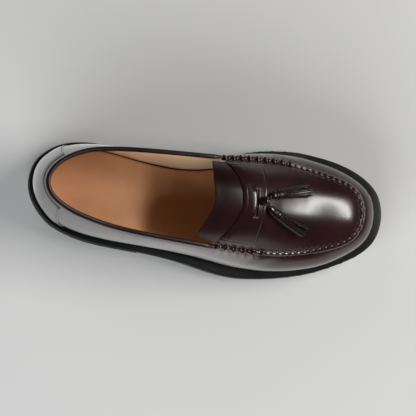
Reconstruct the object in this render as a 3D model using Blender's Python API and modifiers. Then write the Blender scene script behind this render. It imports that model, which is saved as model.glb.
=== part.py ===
"""A men's tassel loafer, the right shoe: lugged sole, hollow upper, strap and tassels. Metres, +Z up.

+X runs from heel to toe and +Y to the inner side of the foot. The origin is on the floor, at the
middle of the heel's tread. Shapes are worked out from the heel's back, and each object's location
then moves them to that origin.
"""

import math

import bmesh
import bpy
from mathutils import Vector

# Overall sizes
SOLE_LENGTH = 0.300
SOLE_WIDTH = 0.110
HEEL_CENTRE = 0.042
HEEL_LENGTH = 0.096
HEEL_PITCH = 0.0202
TOE_SPRING = 0.0114
GAP = 0.0003

# Sole layers and tread
OUTSOLE_THICKNESS = 0.0045
MIDSOLE_THICKNESS = 0.0040
WELT_THICKNESS = 0.0030
LAYER_STEP = 0.0007
LUG_DEPTH = 0.0045
LUG_PITCH = 0.0110
LUG_START = 0.134
FOREFOOT_CENTRE = 0.210
GROOVE_WIDTH = 0.0034
GROOVE_DRAFT = 0.0005
SHORTEST_LUG = 0.0040
CHANNELED_WIDTH = 0.045
BALL_STACK = LUG_DEPTH + OUTSOLE_THICKNESS + MIDSOLE_THICKNESS + WELT_THICKNESS + 2 * GAP

# Upper
WALL = 0.0020
COLLAR_HEIGHT = 0.0532
VAMP_CROWN = 0.0250
CROWN_POWER = 2.2
SEAM_WIDTH = 0.0034
SEAM_RISE = 0.0013
SEAM_SLOPE = 0.60
COLLAR_END = 0.513
VAMP_START = 0.607

# Pieces on the upper
BINDING_WIDTH = 0.0038
BINDING_HEIGHT = 0.0030
BINDING_STOP = 0.004
COUNTER_THICKNESS = 0.0011
STRAP_THICKNESS = 0.0017
STRAP_BUMP = 0.0020
TONGUE_THICKNESS = 0.0020
INSOLE_THICKNESS = 0.0035
INSOLE_CLEARANCE = 0.0008

# Tassels
KNOT_WIDTH = 0.0076
KNOT_HEIGHT = 0.0062
KNOT_FORWARD = 0.0064
KNOT_INWARD = 0.0025
THONG_THICKNESS = 0.0012
TASSEL_LENGTH = 0.0360
TASSEL_WIDTH = 0.0086
TASSEL_FLATNESS = 0.74
STRIPS = 10

# Sole outline: shares of the sole's length and width, from the line through the heel's centre
OUTLINE = (
    ("along", "lateral", "medial"),
    (0.000, -0.050, 0.050),
    (0.016, 0.110, 0.205),
    (0.033, 0.178, 0.256),
    (0.066, 0.268, 0.322),
    (0.100, 0.317, 0.355),
    (0.133, 0.351, 0.370),
    (0.167, 0.375, 0.374),
    (0.200, 0.392, 0.366),
    (0.267, 0.413, 0.335),
    (0.333, 0.430, 0.302),
    (0.400, 0.455, 0.291),
    (0.467, 0.492, 0.313),
    (0.540, 0.538, 0.364),
    (0.607, 0.559, 0.417),
    (0.673, 0.549, 0.449),
    (0.740, 0.523, 0.457),
    (0.810, 0.478, 0.434),
    (0.877, 0.405, 0.388),
    (0.940, 0.312, 0.304),
    (0.971, 0.238, 0.230),
    (0.987, 0.172, 0.166),
    (1.000, 0.005, -0.005),
)

# Ledge of sole outside the upper, and the belly of the upper's wall: shares of the sole's width,
# with the belly's height as a share of the wall's
WALL_FOOT = (
    ("along", "ledge lateral", "ledge medial", "belly lateral", "belly medial", "belly height"),
    (0.00, 0.046, 0.046, 0.030, 0.030, 0.45),
    (0.07, 0.044, 0.040, 0.028, 0.028, 0.45),
    (0.13, 0.048, 0.036, 0.026, 0.028, 0.46),
    (0.20, 0.052, 0.036, 0.026, 0.034, 0.47),
    (0.27, 0.054, 0.036, 0.027, 0.066, 0.48),
    (0.33, 0.057, 0.035, 0.028, 0.110, 0.50),
    (0.40, 0.066, 0.042, 0.030, 0.132, 0.50),
    (0.47, 0.081, 0.055, 0.032, 0.122, 0.52),
    (0.54, 0.091, 0.062, 0.034, 0.090, 0.56),
    (0.61, 0.088, 0.055, 0.036, 0.057, 0.60),
    (0.68, 0.070, 0.054, 0.037, 0.041, 0.62),
    (0.75, 0.060, 0.058, 0.037, 0.038, 0.63),
    (0.85, 0.054, 0.062, 0.037, 0.037, 0.63),
    (0.93, 0.056, 0.060, 0.038, 0.038, 0.63),
    (1.00, 0.066, 0.066, 0.038, 0.038, 0.63),
)

# Top edge of the wall: the collar behind, the outer foot of the raised seam in front. Widths are
# shares of the sole's width, heights shares of the collar's height above the welt
TOP_EDGE = (
    ("along", "lateral", "medial", "height lateral", "height medial"),
    (0.045, -0.034, 0.034, 1.000, 1.000),
    (0.057, 0.062, 0.128, 0.986, 0.988),
    (0.073, 0.106, 0.178, 0.968, 0.972),
    (0.090, 0.138, 0.214, 0.951, 0.957),
    (0.123, 0.184, 0.262, 0.918, 0.928),
    (0.157, 0.216, 0.294, 0.888, 0.900),
    (0.220, 0.261, 0.318, 0.828, 0.870),
    (0.287, 0.291, 0.327, 0.802, 0.863),
    (0.350, 0.310, 0.330, 0.812, 0.884),
    (0.417, 0.327, 0.331, 0.842, 0.926),
    (0.483, 0.344, 0.331, 0.868, 0.966),
    (0.510, 0.350, 0.334, 0.866, 0.968),
    (0.550, 0.357, 0.344, 0.842, 0.940),
    (0.620, 0.368, 0.356, 0.754, 0.845),
    (0.687, 0.371, 0.355, 0.676, 0.745),
    (0.757, 0.357, 0.336, 0.606, 0.660),
    (0.823, 0.316, 0.298, 0.541, 0.583),
    (0.888, 0.249, 0.242, 0.500, 0.518),
    (0.921, 0.183, 0.180, 0.485, 0.492),
    (0.937, 0.110, 0.108, 0.477, 0.478),
    (0.945, 0.000, 0.000, 0.474, 0.474),
)

# How far the bottom of the foot lies above its place at the ball: shares of pitch and toe spring
FOOT_RISE = (
    ("along", "heel", "toe"),
    (0.00, 1.000, 0.000),
    (0.14, 0.940, 0.000),
    (0.28, 0.876, 0.000),
    (0.38, 0.658, 0.000),
    (0.48, 0.337, 0.000),
    (0.57, 0.094, 0.000),
    (0.65, 0.000, 0.000),
    (0.76, 0.000, 0.000),
    (0.87, 0.000, 0.342),
    (0.94, 0.000, 0.650),
    (1.00, 0.000, 1.000),
)

# Crown of the vamp above its seams, as shares of the vamp's crown
CROWN = (
    ("along", "rise"),
    (0.380, 0.760),
    (0.465, 0.820),
    (0.523, 0.910),
    (0.566, 0.933),
    (0.600, 0.918),
    (0.634, 0.878),
    (0.667, 0.810),
    (0.707, 0.720),
    (0.748, 0.640),
    (0.789, 0.570),
    (0.830, 0.480),
    (0.871, 0.379),
    (0.900, 0.292),
    (0.914, 0.225),
    (0.926, 0.150),
    (0.936, 0.060),
    (0.942, 0.000),
)

# Edges of strap and tongue: share across from the lateral seam, then shares of the sole's length
STRAP = (
    ("across", "rear", "front"),
    (0.030, 0.524, 0.628),
    (0.085, 0.532, 0.631),
    (0.200, 0.552, 0.634),
    (0.333, 0.569, 0.638),
    (0.475, 0.578, 0.639),
    (0.630, 0.574, 0.640),
    (0.783, 0.563, 0.638),
    (0.890, 0.545, 0.633),
    (0.970, 0.524, 0.630),
)
TONGUE = (
    ("across", "rear"),
    (0.020, 0.497),
    (0.045, 0.474),
    (0.090, 0.465),
    (0.160, 0.471),
    (0.300, 0.485),
    (0.400, 0.494),
    (0.520, 0.4995),
    (0.630, 0.497),
    (0.790, 0.491),
    (0.980, 0.487),
)
SLIT_ROWS = (0.57, 0.67)
SLIT_COLUMNS = (0.37, 0.66)
BUMP_PLACE = 0.47
BUMP_REACH = 0.20
BUMP_ENDS = 0.05

# Front edge of the heel counter: height on the wall, and turn round from the heel's back
COUNTER = (
    ("height", "turn"),
    (0.03, 0.205),
    (0.25, 0.190),
    (0.55, 0.172),
    (0.87, 0.152),
)

# Knot and thong: forward and up from the slit as shares of the way to the knot's centre, the
# section's tilt in degrees, and its half width and half height as shares of the knot's
KNOT = (
    ("forward", "up", "tilt", "width", "height"),
    (0.00, -0.50, 90.0, 0.90, 0.00),
    (0.01, 0.12, 80.0, 0.88, 0.00),
    (0.17, 0.52, 32.0, 0.84, 0.10),
    (0.42, 0.80, 8.0, 0.78, 0.52),
    (0.68, 0.96, 0.0, 0.92, 0.86),
    (1.00, 1.00, 0.0, 1.00, 1.00),
    (1.30, 0.96, -6.0, 0.86, 0.84),
    (1.48, 0.90, -12.0, 0.46, 0.46),
)

# Each tassel's lie on the vamp: the way it leaves the knot in degrees, then how far forward and
# inward of the knot its bend and end lie, as shares of its length
TASSELS = (
    ("name", "leaves", "bend forward", "bend inward", "end forward", "end inward"),
    ("tassel_medial", 52.0, 0.30, 0.19, 1.00, 0.32),
    ("tassel_lateral", -64.0, 0.28, -0.29, 0.97, -0.53),
)

# A tassel along its length: width as a share of its own, and depth of the cuts between strips
TASSEL_SHAPE = (
    ("along", "width", "cut"),
    (0.00, 0.24, 0.00),
    (0.05, 0.56, 0.00),
    (0.14, 0.74, 0.00),
    (0.25, 0.80, 0.00),
    (0.27, 0.92, 0.00),
    (0.31, 0.92, 0.00),
    (0.33, 0.78, 0.00),
    (0.37, 0.90, 0.00),
    (0.41, 0.90, 0.00),
    (0.43, 0.80, 0.10),
    (0.60, 0.90, 0.20),
    (0.82, 0.98, 0.26),
    (0.96, 1.02, 0.30),
    (1.00, 0.98, 0.32),
)
STRIP_STAGGER = 0.022

# Meshing
HEEL_STEPS = 17
THROAT_STEPS = 4
TOE_STEPS = 15
SLAB_STEPS = 34
WALL_ROWS = (0.0, 0.14, 0.32, 0.50, 0.68, 0.85, 1.0)
SEAM_ROWS = ((0.14, 0.72), (0.34, 1.00), (0.66, 0.94), (1.00, 0.00))
ACROSS_STEPS = 10
TREAD_CHANNELS = ((0.30, 0.37), (0.63, 0.70))
CHANNEL_DRAFT = 0.010
TINY = 1e-4

COLOURS = {
    "leather": ((0.040, 0.009, 0.012), 0.22),
    "binding": ((0.024, 0.006, 0.008), 0.35),
    "insock": ((0.402, 0.182, 0.088), 0.60),
    "rubber": ((0.012, 0.013, 0.013), 0.62),
}


# Reading the tables

def ease(places, values, place):
    """Height at a place of the smooth curve through a table's points, level where it turns."""
    place = min(max(place, places[0]), places[-1])
    last = len(places) - 1
    steps = [(values[i + 1] - values[i]) / (places[i + 1] - places[i]) for i in range(last)]

    def slope(i):
        before = steps[max(i - 1, 0)]
        after = steps[min(i, last - 1)]
        return 0.0 if before * after <= 0 else 2 * before * after / (before + after)

    i = max(k for k in range(last) if places[k] <= place)
    width = places[i + 1] - places[i]
    s = (place - places[i]) / width
    rise = values[i + 1] - values[i]
    lean = slope(i) * width * s * (1 - s) ** 2 - slope(i + 1) * width * s ** 2 * (1 - s)
    return values[i] + rise * s * s * (3 - 2 * s) + lean


def read(table, name, place):
    """One named column of a table at a place in its first column."""
    column = table[0].index(name)
    return ease([row[0] for row in table[1:]], [row[column] for row in table[1:]], place)


def turn_at(table, share):
    """Turn, 0 at the table's first row and 1 at its last, spread so that both ends come out round."""
    start, end = table[1][0], table[-1][0]
    span = min(max((share - start) / (end - start), 0.0), 1.0)
    return math.acos(1 - 2 * span) / math.pi


def share_at(table, turn):
    start, end = table[1][0], table[-1][0]
    return start + (end - start) * (1 - math.cos(math.pi * turn)) / 2


def read_round(table, name, turn):
    """A column read by turn, for curves that close at the heel's back and at the toe."""
    column = table[0].index(name)
    turns = [turn_at(table, row[0]) for row in table[1:]]
    return ease(turns, [row[column] for row in table[1:]], turn)


# Curves round the shoe: around runs 0 to 1 along the lateral side and on to 2 along the medial

def side_of(around):
    around = around % 2.0
    return ("lateral", -1.0, around) if around <= 1.0 else ("medial", 1.0, 2.0 - around)


def plan_point(table, around):
    name, sign, turn = side_of(around)
    width = read_round(table, name, turn) * SOLE_WIDTH
    return Vector((share_at(table, turn) * SOLE_LENGTH, sign * width, 0.0))


def plan_normal(table, around):
    ahead = plan_point(table, around + TINY) - plan_point(table, around - TINY)
    return Vector((ahead.y, -ahead.x, 0.0)).normalized()


def foot_column(around, name):
    """Column of the wall's foot table for this side, by share along the sole."""
    side, _, turn = side_of(around)
    full_name = name if name == "belly height" else f"{name} {side}"
    return read(WALL_FOOT, full_name, share_at(OUTLINE, turn))


def sole_point(around, inset):
    return plan_point(OUTLINE, around) - plan_normal(OUTLINE, around) * inset


def welt_top(x):
    share = x / SOLE_LENGTH
    rise = HEEL_PITCH * read(FOOT_RISE, "heel", share) + TOE_SPRING * read(FOOT_RISE, "toe", share)
    return BALL_STACK + rise


def ledge(around):
    return foot_column(around, "ledge") * SOLE_WIDTH


def top_point(around):
    """Top edge of the wall's outer face."""
    side, _, turn = side_of(around)
    point = plan_point(TOP_EDGE, around)
    height = read_round(TOP_EDGE, f"height {side}", turn)
    point.z = welt_top(point.x) + GAP + COLLAR_HEIGHT * height
    return point


def wall_point(around, height):
    """Outer face of the upper's wall, from its foot on the welt to its top edge."""
    foot = sole_point(around, ledge(around))
    foot.z = welt_top(foot.x) + GAP
    top = top_point(around)
    belly = foot + plan_normal(OUTLINE, around) * foot_column(around, "belly") * SOLE_WIDTH
    belly.z = foot.z + (top.z - foot.z) * foot_column(around, "belly height")
    return foot * (1 - height) ** 2 + belly * 2 * height * (1 - height) + top * height ** 2


def seam_point(around, inward, rise):
    """Raised seam inside the wall's top edge, by share of its width and of its rise."""
    point = top_point(around) - plan_normal(TOP_EDGE, around) * SEAM_WIDTH * inward
    point.z += SEAM_WIDTH * SEAM_SLOPE * inward + SEAM_RISE * rise
    return point


def vamp_point(turn, across):
    """Outer face of the vamp, from the lateral seam's inner foot to the medial one's."""
    point = seam_point(turn, 1.0, 0.0).lerp(seam_point(2.0 - turn, 1.0, 0.0), across)
    crown = read_round(CROWN, "rise", turn_at(CROWN, share_at(TOP_EDGE, turn)))
    if turn >= 1.0:
        crown = 0.0
    point.z += VAMP_CROWN * crown * (1 - abs(2 * across - 1) ** CROWN_POWER)
    return point


def vamp_normal(turn, across):
    step = 0.002
    along = vamp_point(turn + step, across) - vamp_point(turn - step, across)
    over = vamp_point(turn, across + step) - vamp_point(turn, across - step)
    return along.cross(over).normalized()


def vamp_place(x, y):
    """Turn and share across of a plan position on the vamp."""
    turn = turn_at(TOP_EDGE, x / SOLE_LENGTH)
    for _ in range(3):
        turn = turn_at(TOP_EDGE, share_at(TOP_EDGE, turn) + (x - vamp_point(turn, 0.5).x) / SOLE_LENGTH)
    lateral = seam_point(turn, 1.0, 0.0).y
    medial = seam_point(2.0 - turn, 1.0, 0.0).y
    return turn, (y - lateral) / (medial - lateral)


# Making meshes and objects

def material(name, colour, roughness):
    made = bpy.data.materials.new(name)
    made.use_nodes = True
    shader = made.node_tree.nodes["Principled BSDF"]
    shader.inputs["Base Color"].default_value = (*colour, 1.0)
    shader.inputs["Roughness"].default_value = roughness
    return made


def make_object(name, points, faces, finish):
    """Object from points and faces, with points that coincide made one."""
    mesh = bpy.data.meshes.new(name)
    shape = bmesh.new()
    corners = [shape.verts.new(point) for point in points]
    for face in faces:
        shape.faces.new([corners[i] for i in face])
    bmesh.ops.remove_doubles(shape, verts=shape.verts, dist=1e-6)
    shape.to_mesh(mesh)
    shape.free()
    mesh.materials.append(bpy.data.materials[finish])
    mesh.shade_smooth()
    mesh.set_sharp_from_angle(angle=math.radians(35))
    made = bpy.data.objects.new(name, mesh)
    made.location.x = -HEEL_CENTRE
    bpy.data.collections["tassel_loafer"].objects.link(made)
    return made


def steps(start, end, count):
    return [start + (end - start) * i / count for i in range(count + 1)]


def grid_faces(rows, columns, first=0):
    return [(first + r * columns + c, first + r * columns + c + 1,
             first + (r + 1) * columns + c + 1, first + (r + 1) * columns + c)
            for r in range(rows - 1) for c in range(columns - 1)]


def solid_outward(mesh):
    shape = bmesh.new()
    shape.from_mesh(mesh)
    bmesh.ops.recalc_face_normals(shape, faces=shape.faces)
    shape.to_mesh(mesh)
    shape.free()


def slab(name, bottom, top, finish):
    """Solid between two grids of points, rows heel to toe and points lateral to medial.

    The grids have as many rows as each other. A row whose points coincide is a rounded end.
    """
    rows = len(bottom)
    low, high = len(bottom[0]), len(top[0])
    points = [p for row in bottom for p in row] + [p for row in top for p in row]
    start = rows * low
    faces = grid_faces(rows, low) + grid_faces(rows, high, start)
    for r in range(rows - 1):
        for below, above in ((0, 0), (low - 1, high - 1)):
            faces.append((r * low + below, (r + 1) * low + below,
                          start + (r + 1) * high + above, start + r * high + above))
    for r in (0, rows - 1):
        if (bottom[r][0] - bottom[r][-1]).length > TINY:
            faces.append([r * low + c for c in range(low)] +
                         [start + r * high + c for c in reversed(range(high))])
    made = make_object(name, points, faces, finish)
    solid_outward(made.data)
    return made


def patch(name, grid, thickness, finish, holes=()):
    """Open sheet through a grid of points, thickened outward. Holes name grid cells left out.

    Seen from outside, the points of a row run on the right of the way from row to row.
    """
    columns = len(grid[0])
    faces = [face for face in grid_faces(len(grid), columns)
             if (face[0] // columns, face[0] % columns) not in holes]
    made = make_object(name, [p for row in grid for p in row], faces, finish)
    sheet = made.modifiers.new("thickness", "SOLIDIFY")
    sheet.thickness = thickness
    sheet.offset = 1.0
    return made


def loft(name, rings, finish):
    """Closed tube through rings of points, its ends closed by fans."""
    count = len(rings[0])
    points = [p for ring in rings for p in ring]
    faces = []
    for r in range(len(rings) - 1):
        for c in range(count):
            d = (c + 1) % count
            faces.append((r * count + c, r * count + d, (r + 1) * count + d, (r + 1) * count + c))
    for r in (0, len(rings) - 1):
        middle = len(points)
        points.append(sum(rings[r], Vector()) / count)
        faces += [(middle, r * count + c, r * count + (c + 1) % count) for c in range(count)]
    made = make_object(name, points, faces, finish)
    solid_outward(made.data)
    return made


# The sole

def across_row(turn, inset, height, columns):
    """Points across the sole at one turn, at one height above the floor."""
    lateral = sole_point(turn, inset)
    medial = sole_point(2.0 - turn, inset)
    row = [lateral.lerp(medial, column) for column in columns]
    for point in row:
        point.z = height
    return row


def layer_drop(name):
    """How far a layer's top lies under the welt's top."""
    drops = {"welt": 0.0, "midsole": WELT_THICKNESS + GAP}
    drops["outsole"] = drops["midsole"] + MIDSOLE_THICKNESS + GAP
    return drops[name]


def plain_layer(name, thickness, inset, finish):
    turns = steps(0.0, 1.0, SLAB_STEPS)
    tops = [welt_top(share_at(OUTLINE, turn) * SOLE_LENGTH) - layer_drop(name) for turn in turns]
    ends = (0.0, 0.5, 1.0)
    bottom = [across_row(t, inset, top - thickness, ends) for t, top in zip(turns, tops)]
    top = [across_row(t, inset, top, ends) for t, top in zip(turns, tops)]
    slab(name, bottom, top, finish)


def tread_columns():
    """Shares across the tread, each with whether it lies in a channel between lugs."""
    columns = [(0.0, False), (0.5, False), (1.0, False)]
    for start, end in TREAD_CHANNELS:
        columns += [(start, False), (start + CHANNEL_DRAFT, True),
                    (end - CHANNEL_DRAFT, True), (end, False)]
    return sorted(columns)


def tread_rows(start, end, centre):
    """Lengths along the tread from start to end, each with whether it lies in a groove.

    The grooves are set out from the centre of a lug.
    """
    grooves = []
    count = int(SOLE_LENGTH / LUG_PITCH)
    for i in range(-count, count):
        middle = centre + (i + 0.5) * LUG_PITCH
        low, high = middle - GROOVE_WIDTH / 2, middle + GROOVE_WIDTH / 2
        if low > start + SHORTEST_LUG and high < end - SHORTEST_LUG:
            grooves += [(low, False), (low + GROOVE_DRAFT, True), (high - GROOVE_DRAFT, True), (high, False)]
    plain = [share_at(OUTLINE, turn) * SOLE_LENGTH for turn in steps(0.0, 1.0, SLAB_STEPS)]
    free = [x for x in plain if start < x < end and not grooves[0][0] - TINY < x < grooves[-1][0] + TINY]
    return [(start, False)] + sorted([(x, False) for x in free] + grooves) + [(end, False)]


def set_tread(row, columns, base, groove, in_lugs):
    """Sets a tread row's heights, where base is the layer's own underside.

    The channels stop where the tread is narrow, so that lugs close its rounded ends.
    """
    wide = (row[-1] - row[0]).length > CHANNELED_WIDTH
    for point, (_, channel) in zip(row, columns):
        cut = groove or (channel and wide)
        point.z = base if cut or not in_lugs else base - LUG_DEPTH


def outsole():
    columns = tread_columns()
    shares = [share for share, _ in columns]
    drop = layer_drop("outsole")
    shank = [share_at(OUTLINE, turn) * SOLE_LENGTH for turn in steps(0.0, 1.0, SLAB_STEPS)]
    rows = [(x, True) for x in shank if x < LUG_START - GROOVE_DRAFT - TINY] + [(LUG_START - GROOVE_DRAFT, True)]
    rows += tread_rows(LUG_START, SOLE_LENGTH, FOREFOOT_CENTRE)
    bottom = []
    top = []
    for x, groove in rows:
        turn = turn_at(OUTLINE, x / SOLE_LENGTH)
        under = welt_top(x) - drop - OUTSOLE_THICKNESS
        row = across_row(turn, 0.0, under, shares)
        set_tread(row, columns, under, groove, x >= LUG_START)
        bottom.append(row)
        top.append(across_row(turn, LAYER_STEP, under + OUTSOLE_THICKNESS, (0.0, 0.5, 1.0)))
    slab("outsole", bottom, top, "rubber")


def heel():
    columns = tread_columns()
    shares = [share for share, _ in columns]
    drop = layer_drop("outsole") + OUTSOLE_THICKNESS + GAP
    bottom = []
    top = []
    for x, groove in tread_rows(0.0, HEEL_LENGTH, HEEL_CENTRE):
        turn = turn_at(OUTLINE, x / SOLE_LENGTH)
        row = across_row(turn, 0.0, 0.0, shares)
        set_tread(row, columns, LUG_DEPTH, groove, True)
        bottom.append(row)
        top.append(across_row(turn, 0.0, welt_top(x) - drop, (0.0, 0.5, 1.0)))
    slab("heel", bottom, top, "rubber")


def insole():
    turns = steps(0.0, 1.0, SLAB_STEPS)
    inner = WALL + INSOLE_CLEARANCE
    bottom = []
    top = []
    for turn in turns:
        lateral = sole_point(turn, ledge(turn) + inner)
        medial = sole_point(2.0 - turn, ledge(2.0 - turn) + inner)
        row = [lateral.lerp(medial, column) for column in (0.0, 0.5, 1.0)]
        for point in row:
            point.z = welt_top(point.x) + GAP
        bottom.append(row)
        top.append([point + Vector((0.0, 0.0, INSOLE_THICKNESS)) for point in row])
    slab("insole", bottom, top, "insock")


# The upper

def upper_turns():
    """Turns of the wall's columns on one side, heel to toe, and where collar end and vamp fall."""
    collar = turn_at(TOP_EDGE, COLLAR_END)
    vamp = turn_at(TOP_EDGE, VAMP_START)
    turns = steps(0.0, collar, HEEL_STEPS)[:-1] + steps(collar, vamp, THROAT_STEPS)[:-1]
    return turns + steps(vamp, 1.0, TOE_STEPS), HEEL_STEPS, HEEL_STEPS + THROAT_STEPS


def upper_surface(rise):
    """Outer face of the upper as points and faces, its seam raised by a share of its rise."""
    turns, collar, vamp = upper_turns()
    toe = len(turns) - 1
    ring = turns + [2.0 - turn for turn in reversed(turns[1:-1])]
    around = len(ring)
    points = [wall_point(place, height) for height in WALL_ROWS for place in ring]
    faces = []
    for r in range(len(WALL_ROWS) - 1):
        for c in range(around):
            d = (c + 1) % around
            faces.append((r * around + c, r * around + d, (r + 1) * around + d, (r + 1) * around + c))
    front = list(range(collar, around - collar + 1))
    below = [(len(WALL_ROWS) - 1) * around + c for c in front]
    for inward, share in SEAM_ROWS:
        row = list(range(len(points), len(points) + len(front)))
        points += [seam_point(ring[c], inward, share * rise) for c in front]
        faces += [(below[i], below[i + 1], row[i + 1], row[i]) for i in range(len(front) - 1)]
        below = row
    across = steps(0.0, 1.0, ACROSS_STEPS)
    previous = None
    for c in range(vamp, toe + 1):
        lateral, medial = below[c - collar], below[around - c - collar]
        if c == toe:
            row = [lateral] * len(across)
        else:
            inner = list(range(len(points), len(points) + len(across) - 2))
            points += [vamp_point(turns[c], share) for share in across[1:-1]]
            row = [lateral] + inner + [medial]
        if previous:
            for i in range(len(across) - 1):
                corners = (previous[i], row[i], row[i + 1], previous[i + 1])
                faces.append(tuple(dict.fromkeys(corners)))
        previous = row
    return points, faces


def point_normals(points, faces):
    normals = [Vector() for _ in points]
    for face in faces:
        a, b, c = (points[face[i]] for i in (0, 1, 2))
        d = points[face[-1]]
        normal = (c - a).cross(d - b) if len(face) == 4 else (b - a).cross(c - a)
        for i in face:
            normals[i] += normal
    return [normal.normalized() for normal in normals]


def upper():
    """Hollow shell: the outer face with its raised seam, and a smooth inner face a wall behind it."""
    outer, faces = upper_surface(1.0)
    smooth, _ = upper_surface(0.0)
    inner = [p - n * WALL for p, n in zip(smooth, point_normals(smooth, faces))]
    count = len(outer)
    used = {}
    for face in faces:
        for i, corner in enumerate(face):
            used[(corner, face[(i + 1) % len(face)])] = face
    rim = [(a, b) for a, b in used if (b, a) not in used]
    both = faces + [tuple(i + count for i in reversed(face)) for face in faces]
    both += [(b, a, a + count, b + count) for a, b in rim]
    made = make_object("upper", outer + inner, both, "leather")
    solid_outward(made.data)


def topline_binding():
    """Rolled edge that sits on the collar, open at the throat."""
    end = turn_at(TOP_EDGE, COLLAR_END) - BINDING_STOP
    places = steps(2.0 - end, 2.0 + end, 2 * HEEL_STEPS)
    rings = []
    for place in places:
        top = top_point(place)
        outward = plan_normal(TOP_EDGE, place)
        centre = top - outward * WALL / 2
        centre.z = top.z + GAP + BINDING_HEIGHT / 2
        rings.append([centre + outward * BINDING_WIDTH / 2 * math.cos(a) +
                      Vector((0.0, 0.0, BINDING_HEIGHT / 2 * math.sin(a)))
                      for a in steps(0.0, 2 * math.pi, 8)[:-1]])
    loft("topline_binding", rings, "binding")


def heel_counter():
    grid = []
    for height in steps(COUNTER[1][0], COUNTER[-1][0], 6):
        end = read(COUNTER, "turn", height)
        row = []
        for around in steps(2.0 - end, 2.0 + end, 22):
            along = wall_point(around + TINY, height) - wall_point(around - TINY, height)
            up = wall_point(around, height + TINY) - wall_point(around, height - TINY)
            row.append(wall_point(around, height) + along.cross(up).normalized() * GAP)
        grid.append(row)
    patch("heel_counter", grid, COUNTER_THICKNESS, "leather")


def vamp_lifted(x_share, across, lift):
    """Point over the vamp at a share of the sole's length, lifted along its normal."""
    turn = turn_at(TOP_EDGE, x_share)
    return vamp_point(turn, across) + vamp_normal(turn, across) * lift


def strap_bump(row, across):
    """Lift of the strap where the thong passes under it, just behind the slit."""
    low, high = SLIT_COLUMNS
    side = min(across - low + BUMP_ENDS, high + BUMP_ENDS - across) / (2 * BUMP_ENDS)
    side = min(max(side, 0.0), 1.0)
    lengthwise = max(1 - ((row - BUMP_PLACE) / BUMP_REACH) ** 2, 0.0)
    return STRAP_BUMP * side * side * (3 - 2 * side) * lengthwise ** 2


def strap():
    low, high = SLIT_ROWS
    rows = [0.0, 0.14, 0.27, 0.37, 0.47, low, high, 0.76, 0.88, 1.0]
    left, right = SLIT_COLUMNS
    start, end = STRAP[1][0], STRAP[-1][0]
    columns = steps(start, left - BUMP_ENDS, 5) + steps(left, right, 4) + steps(right + BUMP_ENDS, end, 5)
    grid = []
    for across in columns:
        rear, front = read(STRAP, "rear", across), read(STRAP, "front", across)
        grid.append([vamp_lifted(rear + (front - rear) * row, across, GAP + strap_bump(row, across))
                     for row in rows])
    holes = {(c, rows.index(low)) for c in range(len(columns)) if left <= columns[c] < right - TINY}
    patch("strap", grid, STRAP_THICKNESS, "leather", holes)


def tongue():
    """Sheet under the strap, its outer face level with the vamp's and its front at the vamp's edge."""
    start, end = TONGUE[1][0], TONGUE[-1][0]
    columns = steps(start, TONGUE[4][0], 4) + steps(TONGUE[5][0], end, 9)
    front = VAMP_START - GAP / SOLE_LENGTH
    grid = []
    for across in columns:
        rear = read(TONGUE, "rear", across)
        grid.append([vamp_lifted(rear + (front - rear) * row, across, -TONGUE_THICKNESS)
                     for row in steps(0.0, 1.0, 7)])
    patch("tongue", grid, TONGUE_THICKNESS, "leather")


# Knot and tassels

def knot_frame():
    """Where the slit and the knot's centre lie, on the strap's top face and clear of it."""
    slit_middle = sum(SLIT_ROWS) / 2
    reach = COLLAR_END * SOLE_LENGTH
    for _ in range(4):
        turn, across = vamp_place(reach, KNOT_INWARD)
        rear, front = read(STRAP, "rear", across), read(STRAP, "front", across)
        reach = (rear + (front - rear) * slit_middle) * SOLE_LENGTH
    slit = vamp_lifted(reach / SOLE_LENGTH, across, GAP + STRAP_THICKNESS)
    turn, across = vamp_place(reach + KNOT_FORWARD, KNOT_INWARD)
    centre = vamp_point(turn, across)
    centre += vamp_normal(turn, across) * (2 * GAP + STRAP_THICKNESS + KNOT_HEIGHT / 2)
    return slit, centre


def tassel_knot():
    slit, centre = knot_frame()
    way = centre - slit
    rings = []
    for forward, up, tilt, width, height in KNOT[1:]:
        lean = math.radians(tilt)
        middle = Vector((slit.x + way.x * forward, centre.y, slit.z + way.z * up))
        thick = max(height * KNOT_HEIGHT / 2, THONG_THICKNESS / 2)
        rise = Vector((-math.sin(lean), 0.0, math.cos(lean))) * thick
        side = Vector((0.0, width * KNOT_WIDTH / 2, 0.0))
        rings.append([middle + side * math.cos(a) + rise * math.sin(a)
                      for a in steps(0.0, 2 * math.pi, 12)[:-1]])
    loft("tassel_knot", rings, "leather")


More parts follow.
